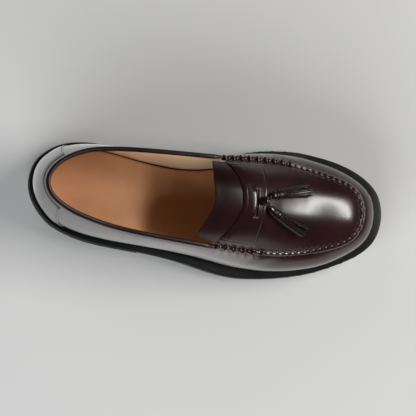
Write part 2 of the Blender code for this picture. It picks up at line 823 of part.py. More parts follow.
def tassel(name, leaves, bend_forward, bend_inward, end_forward, end_inward):
    """Cap, two rings and cut strips, lofted along a curve that lies on the vamp."""
    _, knot = knot_frame()
    angle = math.radians(leaves)
    root = knot + Vector((math.cos(angle), math.sin(angle), 0.0)) * (KNOT_WIDTH / 2 + 2 * GAP)
    bend = knot + Vector((bend_forward, bend_inward, 0.0)) * TASSEL_LENGTH
    tip = knot + Vector((end_forward, end_inward, 0.0)) * TASSEL_LENGTH
    half = TASSEL_WIDTH / 2

    def axis(s, lift):
        plan = root * (1 - s) ** 2 + bend * 2 * s * (1 - s) + tip * s ** 2
        turn, across = vamp_place(plan.x, plan.y)
        normal = vamp_normal(turn, across)
        return vamp_point(turn, across) + normal * lift, normal

    rings = []
    for along, width, cut in TASSEL_SHAPE[1:]:
        ring = []
        for i in range(3 * STRIPS):
            strip, part = divmod(i, 3)
            stagger = STRIP_STAGGER * ((strip * 7) % 5 - 2) / 2 if along == 1.0 else 0.0
            s = along + stagger - (STRIP_STAGGER if along == 1.0 else 0.0)
            lift = half * TASSEL_FLATNESS * TASSEL_SHAPE[-2][1] + 2 * GAP
            centre, normal = axis(s, lift)
            ahead, _ = axis(min(s + 0.02, 1.05), lift)
            before, _ = axis(s - 0.02, lift)
            side = normal.cross(ahead - before).normalized()
            a = 2 * math.pi * i / (3 * STRIPS)
            reach = half * width * (1 - (cut if part == 0 else 0.0))
            ring.append(centre + side * reach * math.cos(a) +
                        normal * reach * TASSEL_FLATNESS * math.sin(a))
        rings.append(ring)
    loft(name, rings, "leather")


def clear_scene():
    for item in list(bpy.data.objects):
        bpy.data.objects.remove(item, do_unlink=True)


def main():
    clear_scene()
    collection = bpy.data.collections.new("tassel_loafer")
    bpy.context.scene.collection.children.link(collection)
    for name, (colour, roughness) in COLOURS.items():
        material(name, colour, roughness)
    outsole()
    heel()
    plain_layer("midsole", MIDSOLE_THICKNESS, 2 * LAYER_STEP, "rubber")
    plain_layer("welt", WELT_THICKNESS, LAYER_STEP, "rubber")
    insole()
    upper()
    topline_binding()
    heel_counter()
    tongue()
    strap()
    tassel_knot()
    for row in TASSELS[1:]:
        tassel(*row)


main()
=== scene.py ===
import math

import bmesh
import bpy
import numpy as np
from mathutils import Matrix, Vector


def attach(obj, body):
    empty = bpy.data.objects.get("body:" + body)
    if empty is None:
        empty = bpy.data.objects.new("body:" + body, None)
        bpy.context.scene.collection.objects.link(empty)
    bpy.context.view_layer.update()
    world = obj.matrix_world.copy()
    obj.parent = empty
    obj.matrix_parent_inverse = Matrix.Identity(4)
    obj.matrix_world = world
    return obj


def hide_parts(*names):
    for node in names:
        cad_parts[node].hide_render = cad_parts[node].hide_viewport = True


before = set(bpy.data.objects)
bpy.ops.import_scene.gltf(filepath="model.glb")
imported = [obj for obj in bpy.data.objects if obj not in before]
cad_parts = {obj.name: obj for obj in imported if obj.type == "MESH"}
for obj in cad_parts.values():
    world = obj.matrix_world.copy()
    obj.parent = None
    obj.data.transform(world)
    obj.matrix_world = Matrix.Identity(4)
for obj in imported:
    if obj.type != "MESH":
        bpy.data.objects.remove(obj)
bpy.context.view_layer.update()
print("frame loaded:", sorted(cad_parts))

# The shoe's own sizes in metres, measured from the heel's back; pieces are moved to the frame at the end
shoe = {
    "length": 0.300, "width": 0.110, "heelCentre": 0.042, "heelLength": 0.096,
    "heelPitch": 0.0202, "toeSpring": 0.0114, "gap": 0.0003,
    "lugDepth": 0.0045, "outsole": 0.0045, "midsole": 0.0040, "welt": 0.0030, "layerStep": 0.0007,
    "wall": 0.0020, "collarHeight": 0.0532, "vampCrown": 0.0250,
    "seamWidth": 0.0034, "seamRise": 0.0013, "seamSlope": 0.60,
    "collarEnd": 0.513, "vampStart": 0.607,
}
shoe["ballStack"] = shoe["lugDepth"] + shoe["outsole"] + shoe["midsole"] + shoe["welt"] + 2 * shoe["gap"]
heelBack = np.array([shoe["heelCentre"], 0, 0])

# Shares along the shoe, then shares of its width
outline = {
    "along": [0, .016, .033, .066, .1, .133, .167, .2, .267, .333, .4, .467, .54, .607, .673, .74,
              .81, .877, .94, .971, .987, 1],
    "lateral": [-.05, .11, .178, .268, .317, .351, .375, .392, .413, .43, .455, .492, .538, .559,
                .549, .523, .478, .405, .312, .238, .172, .005],
    "medial": [.05, .205, .256, .322, .355, .37, .374, .366, .335, .302, .291, .313, .364, .417,
               .449, .457, .434, .388, .304, .23, .166, -.005],
}
wallFoot = {
    "along": [0, .07, .13, .2, .27, .33, .4, .47, .54, .61, .68, .75, .85, .93, 1],
    "ledge lateral": [.046, .044, .048, .052, .054, .057, .066, .081, .091, .088, .07, .06, .054,
                      .070, .088],
    "ledge medial": [.046, .04, .036, .036, .036, .035, .042, .055, .062, .055, .056, .066, .074,
                     .082, .088],
    "belly lateral": [.03, .028, .026, .026, .027, .028, .03, .032, .034, .036, .037, .037, .037,
                      .034, .030],
    "belly medial": [.03, .028, .028, .034, .066, .11, .132, .122, .09, .057, .041, .038, .037,
                     .034, .030],
    "belly height": [.45, .45, .46, .47, .48, .5, .5, .52, .56, .6, .62, .63, .63, .63, .63],
}
topEdge = {
    "along": [.045, .057, .073, .09, .123, .157, .22, .287, .35, .417, .483, .51, .55, .62, .687,
              .757, .823, .884, .914, .929, .937],
    "lateral": [-.034, .062, .106, .138, .184, .216, .261, .291, .31, .327, .344, .35, .357, .368,
                .368, .347, .306, .243, .180, .109, 0],
    "medial": [.034, .128, .178, .214, .262, .294, .318, .327, .33, .331, .331, .334, .344, .356,
               .354, .328, .288, .235, .176, .106, 0],
    "height lateral": [1, .986, .968, .951, .918, .888, .828, .802, .812, .842, .868, .866, .842,
                       .754, .676, .606, .541, .5, .485, .477, .474],
    "height medial": [1, .988, .972, .957, .928, .9, .87, .863, .884, .926, .966, .968, .94, .845,
                      .745, .66, .583, .518, .492, .478, .474],
}
footRise = {
    "along": [0, .14, .28, .38, .48, .57, .65, .76, .87, .94, 1],
    "heel": [1, .94, .876, .658, .337, .094, 0, 0, 0, 0, 0],
    "toe": [0, 0, 0, 0, 0, 0, 0, 0, .342, .65, 1],
}
crown = {
    "along": [.38, .465, .5, .533, .566, .6, .634, .667, .687, .707, .748, .789, .83, .866, .879,
              .893, .907, .919, .929, .935],
    "rise": [.70, .745, .784, .862, .938, .986, .932, .844, .785, .728, .64, .57, .48, .386, .350,
             .303, .240, .165, .075, 0],
}
strapEdges = {
    "across": [.03, .085, .2, .333, .475, .63, .783, .89, .97],
    "rear": [.524, .532, .552, .569, .578, .574, .563, .545, .524],
    "front": [.628, .631, .634, .638, .639, .64, .638, .633, .63],
}
tongueEdge = {
    "across": [.02, .045, .09, .16, .3, .4, .52, .63, .79, .98],
    "rear": [.497, .474, .465, .471, .485, .494, .4995, .497, .491, .487],
}
counterEdge = {"height": [.03, .25, .55, .87], "turn": [.205, .19, .172, .152]}


# Curves that the whole shoe is built from

def easeCurve(places, values, at):
    # smooth curve through a table's points, level where it turns
    places, values = np.asarray(places, float), np.asarray(values, float)
    at = np.clip(at, places[0], places[-1])
    steps = np.diff(values) / np.diff(places)
    before, after = np.append(steps[0], steps), np.append(steps, steps[-1])
    same = before * after > 0
    slopes = np.where(same, 2 * before * after / np.where(same, before + after, 1), 0)
    i = np.clip(np.searchsorted(places, at, side="right") - 1, 0, len(places) - 2)
    span = places[i + 1] - places[i]
    s = (at - places[i]) / span
    lean = slopes[i] * span * s * (1 - s) ** 2 - slopes[i + 1] * span * s ** 2 * (1 - s)
    return values[i] + (values[i + 1] - values[i]) * s * s * (3 - 2 * s) + lean


def turnAt(table, share):
    start, end = table["along"][0], table["along"][-1]
    return np.arccos(1 - 2 * np.clip((np.asarray(share) - start) / (end - start), 0, 1)) / np.pi


def shareAt(table, turn):
    start, end = table["along"][0], table["along"][-1]
    return start + (end - start) * (1 - np.cos(np.pi * np.asarray(turn))) / 2


def readRound(table, name, turn):
    return easeCurve(turnAt(table, table["along"]), table[name], turn)


def smoothStep(value):
    value = np.clip(value, 0, 1)
    return value * value * (3 - 2 * value)


def bell(value, centre, reach):
    return np.exp(-((value - centre) / reach) ** 2)


def unit(vectors):
    return vectors / np.maximum(np.linalg.norm(vectors, axis=-1, keepdims=True), 1e-12)


def weltTop(x):
    share = np.asarray(x) / shoe["length"]
    return (shoe["ballStack"] + shoe["heelPitch"] * easeCurve(footRise["along"], footRise["heel"], share)
            + shoe["toeSpring"] * easeCurve(footRise["along"], footRise["toe"], share))


rounds = {"samples": 1600, "softness": 9.0}
aroundGrid = np.arange(rounds["samples"]) * 2 / rounds["samples"]
onMedial = aroundGrid > 1
turnGrid = np.where(onMedial, 2 - aroundGrid, aroundGrid)


def soften(values, softness):
    # periodic blur, so that gloss runs over the tables' points without a break
    waves = np.fft.fftfreq(len(values))
    kernel = np.exp(-2 * (np.pi * waves * softness) ** 2)
    shape = (-1,) + (1,) * (values.ndim - 1)
    return np.real(np.fft.ifft(np.fft.fft(values, axis=0) * kernel.reshape(shape), axis=0))


def planCurve(table):
    sides = [readRound(table, name, turnGrid) for name in ("lateral", "medial")]
    y = np.where(onMedial, sides[1], -sides[0]) * shoe["width"]
    return soften(np.stack([shareAt(table, turnGrid) * shoe["length"], y], axis=1), rounds["softness"])


def planNormals(curve):
    ahead = np.roll(curve[:, :2], -1, axis=0) - np.roll(curve[:, :2], 1, axis=0)
    return unit(np.stack([ahead[:, 1], -ahead[:, 0]], axis=1))


def footColumn(name):
    share = shareAt(outline, turnGrid)
    read = [easeCurve(wallFoot["along"], wallFoot[f"{name} {side}"], share) for side in ("lateral", "medial")]
    return soften(np.where(onMedial, read[1], read[0]), rounds["softness"])[:, None]


soleCurve = planCurve(outline)
soleNormals = planNormals(soleCurve)
topPlan = planCurve(topEdge)
topNormals = planNormals(topPlan)
topHeights = [readRound(topEdge, f"height {side}", turnGrid) for side in ("lateral", "medial")]
topHeight = soften(np.where(onMedial, topHeights[1], topHeights[0]), rounds["softness"])
footPlan = soleCurve - soleNormals * footColumn("ledge") * shoe["width"]
footCurve = np.column_stack([footPlan, weltTop(footPlan[:, 0]) + shoe["gap"]])
topCurve = np.column_stack([topPlan, weltTop(topPlan[:, 0]) + shoe["gap"] + shoe["collarHeight"] * topHeight])
bellyPlan = footPlan + soleNormals * footColumn("belly") * shoe["width"]
bellyShare = soften(easeCurve(wallFoot["along"], wallFoot["belly height"], shareAt(outline, turnGrid)), 9)
bellyCurve = np.column_stack([bellyPlan, footCurve[:, 2] + (topCurve[:, 2] - footCurve[:, 2]) * bellyShare])


def sampleRound(values, around):
    # smooth reading of a closed curve at any place round it
    count = len(values)
    at = (np.asarray(around, float) % 2.0) * count / 2
    i = np.floor(at).astype(int)
    t = (at - i)[..., None]
    a, b, c, d = (values[(i + k) % count] for k in (-1, 0, 1, 2))
    return b + 0.5 * t * (c - a + t * (2 * a - 5 * b + 4 * c - d + t * (3 * (b - c) + d - a)))


def solePoint(around, inset, height):
    plan = sampleRound(soleCurve, around) - sampleRound(soleNormals, around) * np.asarray(inset)[..., None]
    return np.concatenate([plan, np.broadcast_to(height, plan.shape[:-1])[..., None]], axis=-1)


def wallPoint(around, height):
    height = np.asarray(height, float)[..., None]
    foot, belly, top = (sampleRound(c, around) for c in (footCurve, bellyCurve, topCurve))
    return foot * (1 - height) ** 2 + belly * 2 * height * (1 - height) + top * height ** 2


def wallNormal(around, height):
    step = 1e-3
    along = wallPoint(around + step, height) - wallPoint(around - step, height)
    up = wallPoint(around, np.asarray(height) + step) - wallPoint(around, np.asarray(height) - step)
    return unit(np.cross(along, up))


def seamPoint(around, inward, rise):
    inward = np.asarray(inward, float)
    top = sampleRound(topCurve, around)
    plan = top[..., :2] - sampleRound(topNormals, around) * (shoe["seamWidth"] * inward)[..., None]
    z = top[..., 2] + shoe["seamWidth"] * shoe["seamSlope"] * inward + shoe["seamRise"] * rise
    return np.concatenate([plan, z[..., None]], axis=-1)


crownCurve = np.where(turnGrid < 1, readRound(crown, "rise", turnAt(crown, shareAt(topEdge, turnGrid))), 0)
crownCurve = soften(crownCurve, 11)[:, None]


def vampPoint(turn, across):
    turn, across = np.broadcast_arrays(np.asarray(turn, float), np.asarray(across, float))
    zero = np.zeros_like(turn)
    lateral, medial = seamPoint(turn, zero + 1, zero), seamPoint(2 - turn, zero + 1, zero)
    point = lateral + (medial - lateral) * across[..., None]
    u = (2 * across - 1) ** 2
    fade = smoothStep((1 - turn) / 0.02)
    rise = shoe["vampCrown"] * fade * sampleRound(crownCurve, turn)[..., 0]
    point[..., 2] += rise * (1 - 0.83 * u - 0.17 * u * u)
    return point


def vampNormal(turn, across):
    step = 2e-3
    turn, across = np.asarray(turn, float), np.asarray(across, float)
    along = vampPoint(turn + step, across) - vampPoint(turn - step, across)
    over = vampPoint(turn, across + step) - vampPoint(turn, across - step)
    return unit(np.cross(along, over))


def vampLifted(share, across, lift):
    turn = turnAt(topEdge, share)
    return vampPoint(turn, across) + vampNormal(turn, across) * np.asarray(lift)[..., None]


def vampPlace(x, y):
    # turn and share across of a plan position on the vamp
    turn = turnAt(topEdge, np.asarray(x) / shoe["length"])
    for _ in range(4):
        miss = x - vampPoint(turn, 0.5)[..., 0]
        turn = turnAt(topEdge, shareAt(topEdge, turn) + miss / shoe["length"])
    zero = np.zeros_like(turn)
    lateral, medial = seamPoint(turn, zero + 1, zero)[..., 1], seamPoint(2 - turn, zero + 1, zero)[..., 1]
    return turn, (y - lateral) / (medial - lateral)


# The seam's own measures: how far along it a point lies, and how far inside it
seamFoot = seamPoint(aroundGrid, np.ones(rounds["samples"]), 0.0)
seamSteps = np.linalg.norm(np.roll(seamFoot, -1, axis=0) - seamFoot, axis=1)
seamLength = np.concatenate([[0], np.cumsum(seamSteps)[:-1]])


def seamMeasure(points):
    nearest = np.empty(len(points), int)
    for start in range(0, len(points), 4000):
        part = points[start:start + 4000, None, :2] - seamFoot[None, :, :2]
        nearest[start:start + 4000] = np.argmin((part ** 2).sum(axis=2), axis=1)
    away = points[:, :2] - seamFoot[nearest, :2]
    inside = -(away * topNormals[nearest]).sum(axis=1)
    tangent = np.stack([-topNormals[nearest, 1], topNormals[nearest, 0]], axis=1)
    return seamLength[nearest] + (away * tangent).sum(axis=1), inside, aroundGrid[nearest]


# Meshes

def gridFaces(rows, columns, closed=False):
    faces = []
    for r in range(rows - 1):
        for c in range(columns if closed else columns - 1):
            d = (c + 1) % columns
            faces.append((r * columns + c, r * columns + d, (r + 1) * columns + d, (r + 1) * columns + c))
    return faces


def addObject(name, data):
    piece = bpy.data.objects.new(name, data)
    bpy.context.scene.collection.objects.link(piece)
    return piece


def smoothShading(mesh, sharp=40):
    mesh.shade_smooth()
    mesh.set_sharp_from_angle(angle=math.radians(sharp))


def makePiece(name, points, faces, material, outward=False, sharp=40):
    # a piece from points measured from the heel's back; doubles are merged
    mesh = bpy.data.meshes.new(name)
    moved = np.asarray(points, float) - heelBack
    mesh.from_pydata(moved.tolist(), [], [tuple(dict.fromkeys(f)) for f in faces])
    shape = bmesh.new()
    shape.from_mesh(mesh)
    bmesh.ops.remove_doubles(shape, verts=shape.verts, dist=2e-6)
    bmesh.ops.delete(shape, geom=[v for v in shape.verts if not v.link_faces], context="VERTS")
    if outward:
        bmesh.ops.recalc_face_normals(shape, faces=shape.faces)
    shape.to_mesh(mesh)
    shape.free()
    mesh.materials.append(material)
    smoothShading(mesh, sharp)
    return addObject(name, mesh)


def finalMesh(piece):
    # its mesh with the modifiers carried out
    graph = bpy.context.evaluated_depsgraph_get()
    return bpy.data.meshes.new_from_object(piece.evaluated_get(graph), depsgraph=graph)


def thicken(piece, thickness, offset, bevel=0.0, group="", thinnest=0.0):
    sheet = piece.modifiers.new("thickness", "SOLIDIFY")
    sheet.thickness, sheet.offset, sheet.use_even_offset = thickness, offset, False
    if group:
        sheet.vertex_group, sheet.thickness_vertex_group = group, thinnest
    if bevel:
        edge = piece.modifiers.new("soft edge", "BEVEL")
        edge.width, edge.segments = bevel, 3
        edge.limit_method, edge.angle_limit = "ANGLE", math.radians(50)
    mesh, thin = finalMesh(piece), piece.data
    piece.modifiers.clear()
    piece.data = mesh
    mesh.name = piece.name
    bpy.data.meshes.remove(thin)
    smoothShading(mesh)


def pointNormals(points, faces):
    faces = np.array([f if len(f) == 4 else (*f, f[-1]) for f in faces])
    a, b, c, d = (points[faces[:, i]] for i in range(4))
    normal = np.cross(c - a, d - b)
    total = np.zeros_like(points)
    for i in range(4):
        np.add.at(total, faces[:, i], normal)
    return unit(total)


def ringAngles(count):
    return np.linspace(0, 2 * np.pi, count, endpoint=False)


def ringsRound(middle, side, up, count):
    angles = ringAngles(count)[None, :, None]
    return middle[:, None] + side[:, None] * np.cos(angles) + up[:, None] * np.sin(angles)


def tube(rings, name, material, sharp=60):
    # closed tube through rings of points, its ends closed by fans
    rows, count = rings.shape[:2]
    points = np.concatenate([rings.reshape(-1, 3), rings[0].mean(axis=0)[None], rings[-1].mean(axis=0)[None]])
    faces = gridFaces(rows, count, closed=True)
    for row, middle in ((0, rows * count), (rows - 1, rows * count + 1)):
        faces += [(middle, row * count + c, row * count + (c + 1) % count) for c in range(count)]
    return makePiece(name, points, faces, material, outward=True, sharp=sharp)


def runs(ends, counts):
    # rising places from end to end, with a count for each run
    parts = [np.linspace(a, b, count) for a, b, count in zip(ends, ends[1:], counts)]
    return np.concatenate(parts[:1] + [part[1:] for part in parts[1:]])


def dress(piece, slot, *nodes):
    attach(piece, "root")
    if nodes:
        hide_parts(*nodes)
    print(f"{piece.name}: {sum(len(p.vertices) - 2 for p in piece.data.polygons)} triangles")


# Trees that grow stitches and strips along a path

def startTree(name, inputs):
    tree = bpy.data.node_groups.new(name, "GeometryNodeTree")
    face = tree.interface
    face.new_socket("Path", in_out="INPUT", socket_type="NodeSocketGeometry")
    for label, kind, value in inputs:
        face.new_socket(label, in_out="INPUT", socket_type=f"NodeSocket{kind}").default_value = value
    face.new_socket("Finish", in_out="INPUT", socket_type="NodeSocketMaterial")
    face.new_socket("Geometry", in_out="OUTPUT", socket_type="NodeSocketGeometry")
    return tree, tree.nodes.new("NodeGroupInput"), tree.nodes.new("NodeGroupOutput")


def addNode(tree, kind, settings=(), **inputs):
    node = tree.nodes.new(kind)
    for key, value in dict(settings).items():
        setattr(node, key, value)
    for name, value in inputs.items():
        target = next(s for s in node.inputs if s.name.replace(" ", "") == name and s.enabled)
        if isinstance(value, bpy.types.NodeSocket):
            tree.links.new(value, target)
        else:
            target.default_value = value
    return node


def endTree(tree, group, result, geometry):
    smooth = addNode(tree, "GeometryNodeSetShadeSmooth", Geometry=geometry)
    real = addNode(tree, "GeometryNodeRealizeInstances", Geometry=smooth.outputs["Geometry"])
    finish = addNode(tree, "GeometryNodeSetMaterial", Geometry=real.outputs["Geometry"],
                     Material=group.outputs["Finish"])
    tree.links.new(finish.outputs["Geometry"], result.inputs["Geometry"])
    return tree


def stitchTree():
    tree, group, result = startTree("stitches along a path", [
        ("Pitch", "Float", 0.003), ("Length", "Float", 0.002), ("Width", "Float", 0.0007),
        ("Height", "Float", 0.0005), ("Slant", "Float", 0.0), ("Unevenness", "Float", 0.1),
        ("Seed", "Int", 3)])
    inputs = group.outputs
    curve = addNode(tree, "GeometryNodeMeshToCurve", Mesh=inputs["Path"])
    dots = addNode(tree, "GeometryNodeCurveToPoints", {"mode": "LENGTH"},
                   Curve=curve.outputs["Curve"], Length=inputs["Pitch"])
    lift = addNode(tree, "GeometryNodeInputNamedAttribute", {"data_type": "FLOAT_VECTOR"}, Name="lift")
    along = addNode(tree, "FunctionNodeAlignRotationToVector", {"axis": "X"},
                    Vector=dots.outputs["Tangent"])
    upright = addNode(tree, "FunctionNodeAlignRotationToVector", {"axis": "Z", "pivot_axis": "X"},
                      Rotation=along.outputs["Rotation"], Vector=lift.outputs["Attribute"])
    slant = addNode(tree, "ShaderNodeCombineXYZ", Z=inputs["Slant"])
    turned = addNode(tree, "FunctionNodeRotateRotation", {"rotation_space": "LOCAL"},
                     Rotation=upright.outputs["Rotation"], RotateBy=slant.outputs["Vector"])
    size = addNode(tree, "ShaderNodeCombineXYZ", X=inputs["Length"], Y=inputs["Width"], Z=inputs["Height"])
    low = addNode(tree, "ShaderNodeMath", {"operation": "SUBTRACT"})
    low.inputs[0].default_value = 1.0
    tree.links.new(inputs["Unevenness"], low.inputs[1])
    chance = addNode(tree, "FunctionNodeRandomValue", {"data_type": "FLOAT"},
                     Min=low.outputs[0], Max=1.0, Seed=inputs["Seed"])
    scale = addNode(tree, "ShaderNodeVectorMath", {"operation": "SCALE"}, Scale=chance.outputs[1])
    tree.links.new(size.outputs["Vector"], scale.inputs[0])
    bead = addNode(tree, "GeometryNodeMeshUVSphere", Segments=8, Rings=6, Radius=0.5)
    placed = addNode(tree, "GeometryNodeInstanceOnPoints", Points=dots.outputs["Points"],
                     Instance=bead.outputs["Mesh"], Rotation=turned.outputs["Rotation"],
                     Scale=scale.outputs["Vector"])
    return endTree(tree, group, result, placed.outputs["Instances"])


def stripTree():
    tree, group, result = startTree("strips along paths", [
        ("Width", "Float", 0.0014), ("Thickness", "Float", 0.0007)])
    inputs = group.outputs
    curve = addNode(tree, "GeometryNodeMeshToCurve", Mesh=inputs["Path"])
    lift = addNode(tree, "GeometryNodeInputNamedAttribute", {"data_type": "FLOAT_VECTOR"}, Name="lift")
    framed = addNode(tree, "GeometryNodeSetCurveNormal", {"mode": "FREE"},
                     Curve=curve.outputs["Curve"], Normal=lift.outputs["Attribute"])
    section = addNode(tree, "GeometryNodeCurvePrimitiveQuadrilateral",
                      Width=inputs["Thickness"], Height=inputs["Width"])
    swept = addNode(tree, "GeometryNodeCurveToMesh", Curve=framed.outputs["Curve"],
                    ProfileCurve=section.outputs["Curve"], FillCaps=True)
    return endTree(tree, group, result, swept.outputs["Mesh"])


def grow(name, tree, paths, material, settings):
    # paths are pairs of points and lifts; the tree's result becomes a plain mesh
    points = np.concatenate([p for p, _ in paths]) - heelBack
    lifts = np.concatenate([l for _, l in paths])
    edges, start = [], 0
    for p, _ in paths:
        edges += [(start + i, start + i + 1) for i in range(len(p) - 1)]
        start += len(p)
    guide = bpy.data.meshes.new(name + "_path")
    guide.from_pydata(points.tolist(), edges, [])
    guide.attributes.new("lift", "FLOAT_VECTOR", "POINT").data.foreach_set("vector", lifts.ravel())
    carrier = addObject(name + "_path", guide)
    modifier = carrier.modifiers.new("grow", "NODES")
    modifier.node_group = tree
    values = dict(settings, Finish=material)
    for item in tree.interface.items_tree:
        if item.item_type == "SOCKET" and item.in_out == "INPUT" and item.name in values:
            modifier[item.identifier] = values[item.name]
    mesh = finalMesh(carrier)
    mesh.name = name
    bpy.data.objects.remove(carrier, do_unlink=True)
    return addObject(name, mesh)


stitches = stitchTree()
strips = stripTree()


# Finishes

def startMaterial(name):
    material = bpy.data.materials.new(name)
    material.use_nodes = True
    shader = material.node_tree.nodes["Principled BSDF"]
    place = material.node_tree.nodes.new("ShaderNodeTexCoord").outputs["Object"]
    return material, material.node_tree, shader, place


def noise(tree, place, scale, detail=3.0):
    return addNode(tree, "ShaderNodeTexNoise", Vector=place, Scale=scale, Detail=detail,
                   Roughness=0.55).outputs["Fac"]


def ramp(tree, value, stops):
    node = tree.nodes.new("ShaderNodeValToRGB")
    tree.links.new(value, node.inputs["Fac"])
    for i, (position, colour) in enumerate(stops):
        element = node.color_ramp.elements[i] if i < 2 else node.color_ramp.elements.new(position)
        element.position = position
        element.color = (*colour, 1)
    return node.outputs["Color"]


def twoTones(tree, value, colours):
    return ramp(tree, value, [(0.3, colours[0]), (0.7, colours[1])])


def remap(tree, value, low, high):
    return addNode(tree, "ShaderNodeMapRange", Value=value, ToMin=low, ToMax=high).outputs["Result"]


def bumps(tree, shader, layers):
    # layers of height, strength and depth in metres, the coarsest first
    normal = None
    for height, strength, depth in layers:
        node = addNode(tree, "ShaderNodeBump", Strength=strength, Distance=depth, Height=height)
        if normal:
            tree.links.new(normal, node.inputs["Normal"])
        normal = node.outputs["Normal"]
    tree.links.new(normal, shader.inputs["Normal"])
    return normal


def pores(tree, place, scale):
    cells = addNode(tree, "ShaderNodeTexVoronoi", {"feature": "F1"}, Vector=place, Scale=scale)
    return remap(tree, cells.outputs["Distance"], 0.0, 1.0)


# Gloss holds the values of these four sockets; relief the strengths of wave, grain and pores
glossSockets = ("Coat Weight", "Coat Roughness", "Coat IOR", "Specular IOR Level")
reliefScales = {"wave": 34, "grain": 420, "pore": 1500}
reliefDepths = {"wave": 0.0012, "grain": 0.00025, "pore": 0.00012}
finishes = {
    "burgundy": {"colours": [(.0085, .0028, .0036), (.0140, .0044, .0053), (.0230, .0072, .0082)],
                 "toneScale": 14, "rubScale": 55, "roughness": (0.25, 0.33), "gloss": (1.0, 0.23, 1.4, 0.12),
                 "relief": (0.10, 0.10, 0.10), "sheenRoughness": 0.3,
                 # painted reflection: these ranges raise the walls' coat index, specular and sheen by the
                 # per-point attribute; the leather is the same everywhere
                 "wax": {"Coat IOR": (1.4, 2.4), "Specular IOR Level": (0.12, 1.0),
                         "Sheen Weight": (0.0, 0.8)}},
    "binding": {"colours": [(.0070, .0022, .0030), (.0110, .0036, .0045), (.0190, .0060, .0068)],
                "toneScale": 30, "rubScale": 90, "roughness": (0.34, 0.48), "gloss": (0.15, 0.28, 1.5, 0.3),
                "relief": (0.25, 0.30, 0.20)},
    "tassel": {"colours": [(.0045, .0015, .0019), (.0075, .0025, .0030), (.0130, .0042, .0048)],
               "toneScale": 60, "rubScale": 140, "roughness": (0.40, 0.52), "gloss": (0.8, 0.10, 1.5, 0.06),
               "relief": (0.15, 0.25, 0.20)},
    "insock": {"colours": [(.372, .177, .080), (.444, .218, .105), (.505, .257, .128)],
               "toneScale": 16, "rubScale": 120, "roughness": (0.50, 0.66), "gloss": (0.0, 0.3, 1.5, 0.35),
               "relief": (0.20, 0.30, 0.40)},
    "lining": {"colours": [(.600, .400, .240), (.700, .490, .310), (.770, .560, .370)],
               "toneScale": 20, "rubScale": 120, "roughness": (0.55, 0.70), "gloss": (0.0, 0.3, 1.5, 0.3),
               "relief": (0.30, 0.35, 0.35)},
}
threadColours = {
    # the seam thread is partly its own colour and partly a painted highlight: it is paler than the real dark
    # burgundy thread, so the stitches show as bright dots
    "seamThreadAndGlint": [(.080, .052, .052), (.180, .125, .125)],
    "fineThread": [(.014, .006, .007), (.034, .016, .018)],
    "tanThread": [(.100, .040, .014), (.160, .066, .026)],
}
rubberSettings = {"colours": [(.0034, .0039, .0040), (.0062, .0070, .0070)], "roughness": (0.44, 0.62),
                  "toneScale": 26, "scuffScale": 160, "grainScale": 900, "specular": 0.3}


def leather(name):
    settings = finishes[name]
    material, tree, shader, place = startMaterial(name + "Leather")
    dark, plain, light = settings["colours"]
    tone = noise(tree, place, settings["toneScale"], 4.0)
    stops = [(0.30, dark), (0.72, light), (0.50, plain)]
    tree.links.new(ramp(tree, tone, stops), shader.inputs["Base Color"])
    rub = noise(tree, place, settings["rubScale"], 5.0)
    tree.links.new(remap(tree, rub, *settings["roughness"]), shader.inputs["Roughness"])
    for socket, value in zip(glossSockets, settings["gloss"]):
        shader.inputs[socket].default_value = value
    if "wax" in settings:
        # painted reflection and shade: a per-point attribute gives the walls more coat index, specular and
        # sheen than the vamp, so they look brighter, and takes it back on the toe and the inside wall, so
        # those look darker
        wax = addNode(tree, "ShaderNodeAttribute", {"attribute_name": "wax"}).outputs["Fac"]
        shader.inputs["Sheen Roughness"].default_value = settings["sheenRoughness"]
        for socket, (low, high) in settings["wax"].items():
            tree.links.new(remap(tree, wax, low, high), shader.inputs[socket])
    heights = (noise(tree, place, reliefScales["wave"], 2.0), noise(tree, place, reliefScales["grain"], 3.0),
               pores(tree, place, reliefScales["pore"]))
    normal = bumps(tree, shader, zip(heights, settings["relief"], reliefDepths.values()))
    if settings["gloss"][0] > 0:
        tree.links.new(normal, shader.inputs["Coat Normal"])
    return material


def thread(name, roughness):
    material, tree, shader, place = startMaterial(name)
    twist = noise(tree, place, 1800, 2.0)
    tree.links.new(twoTones(tree, twist, threadColours[name]), shader.inputs["Base Color"])
    shader.inputs["Roughness"].default_value = roughness
    bumps(tree, shader, [(twist, 0.5, 0.0002)])
    return material


def rubber(name, settings):
    material, tree, shader, place = startMaterial(name)
    tone = noise(tree, place, settings["toneScale"], 5.0)
    tree.links.new(twoTones(tree, tone, settings["colours"]), shader.inputs["Base Color"])
    scuff = noise(tree, place, settings["scuffScale"], 4.0)
    tree.links.new(remap(tree, scuff, *settings["roughness"]), shader.inputs["Roughness"])
    shader.inputs["Specular IOR Level"].default_value = settings["specular"]
    bumps(tree, shader, [(noise(tree, place, settings["grainScale"], 2.0), 0.25, 0.0002)])
    return material


burgundy, bindingLeather, tasselLeather, insockLeather, liningLeather = map(leather, finishes)
seamThreadAndGlint, fineThread, tanThread = map(thread, threadColours, (0.30, 0.36, 0.5))
soleRubber = rubber("soleRubber", rubberSettings)
print("finishes made")


# The sole: layers as closed loops across the shoe, from heel to toe

treadSizes = {"pitch": 0.0110, "start": 0.134, "forefootCentre": 0.210, "groove": 0.0034,
              "shortest": 0.0040, "widthForChannels": 0.045, "channels": [(0.30, 0.37), (0.63, 0.70)],
              "edge": 0.0006, "stations": 150, "liftLine": 0.0092}


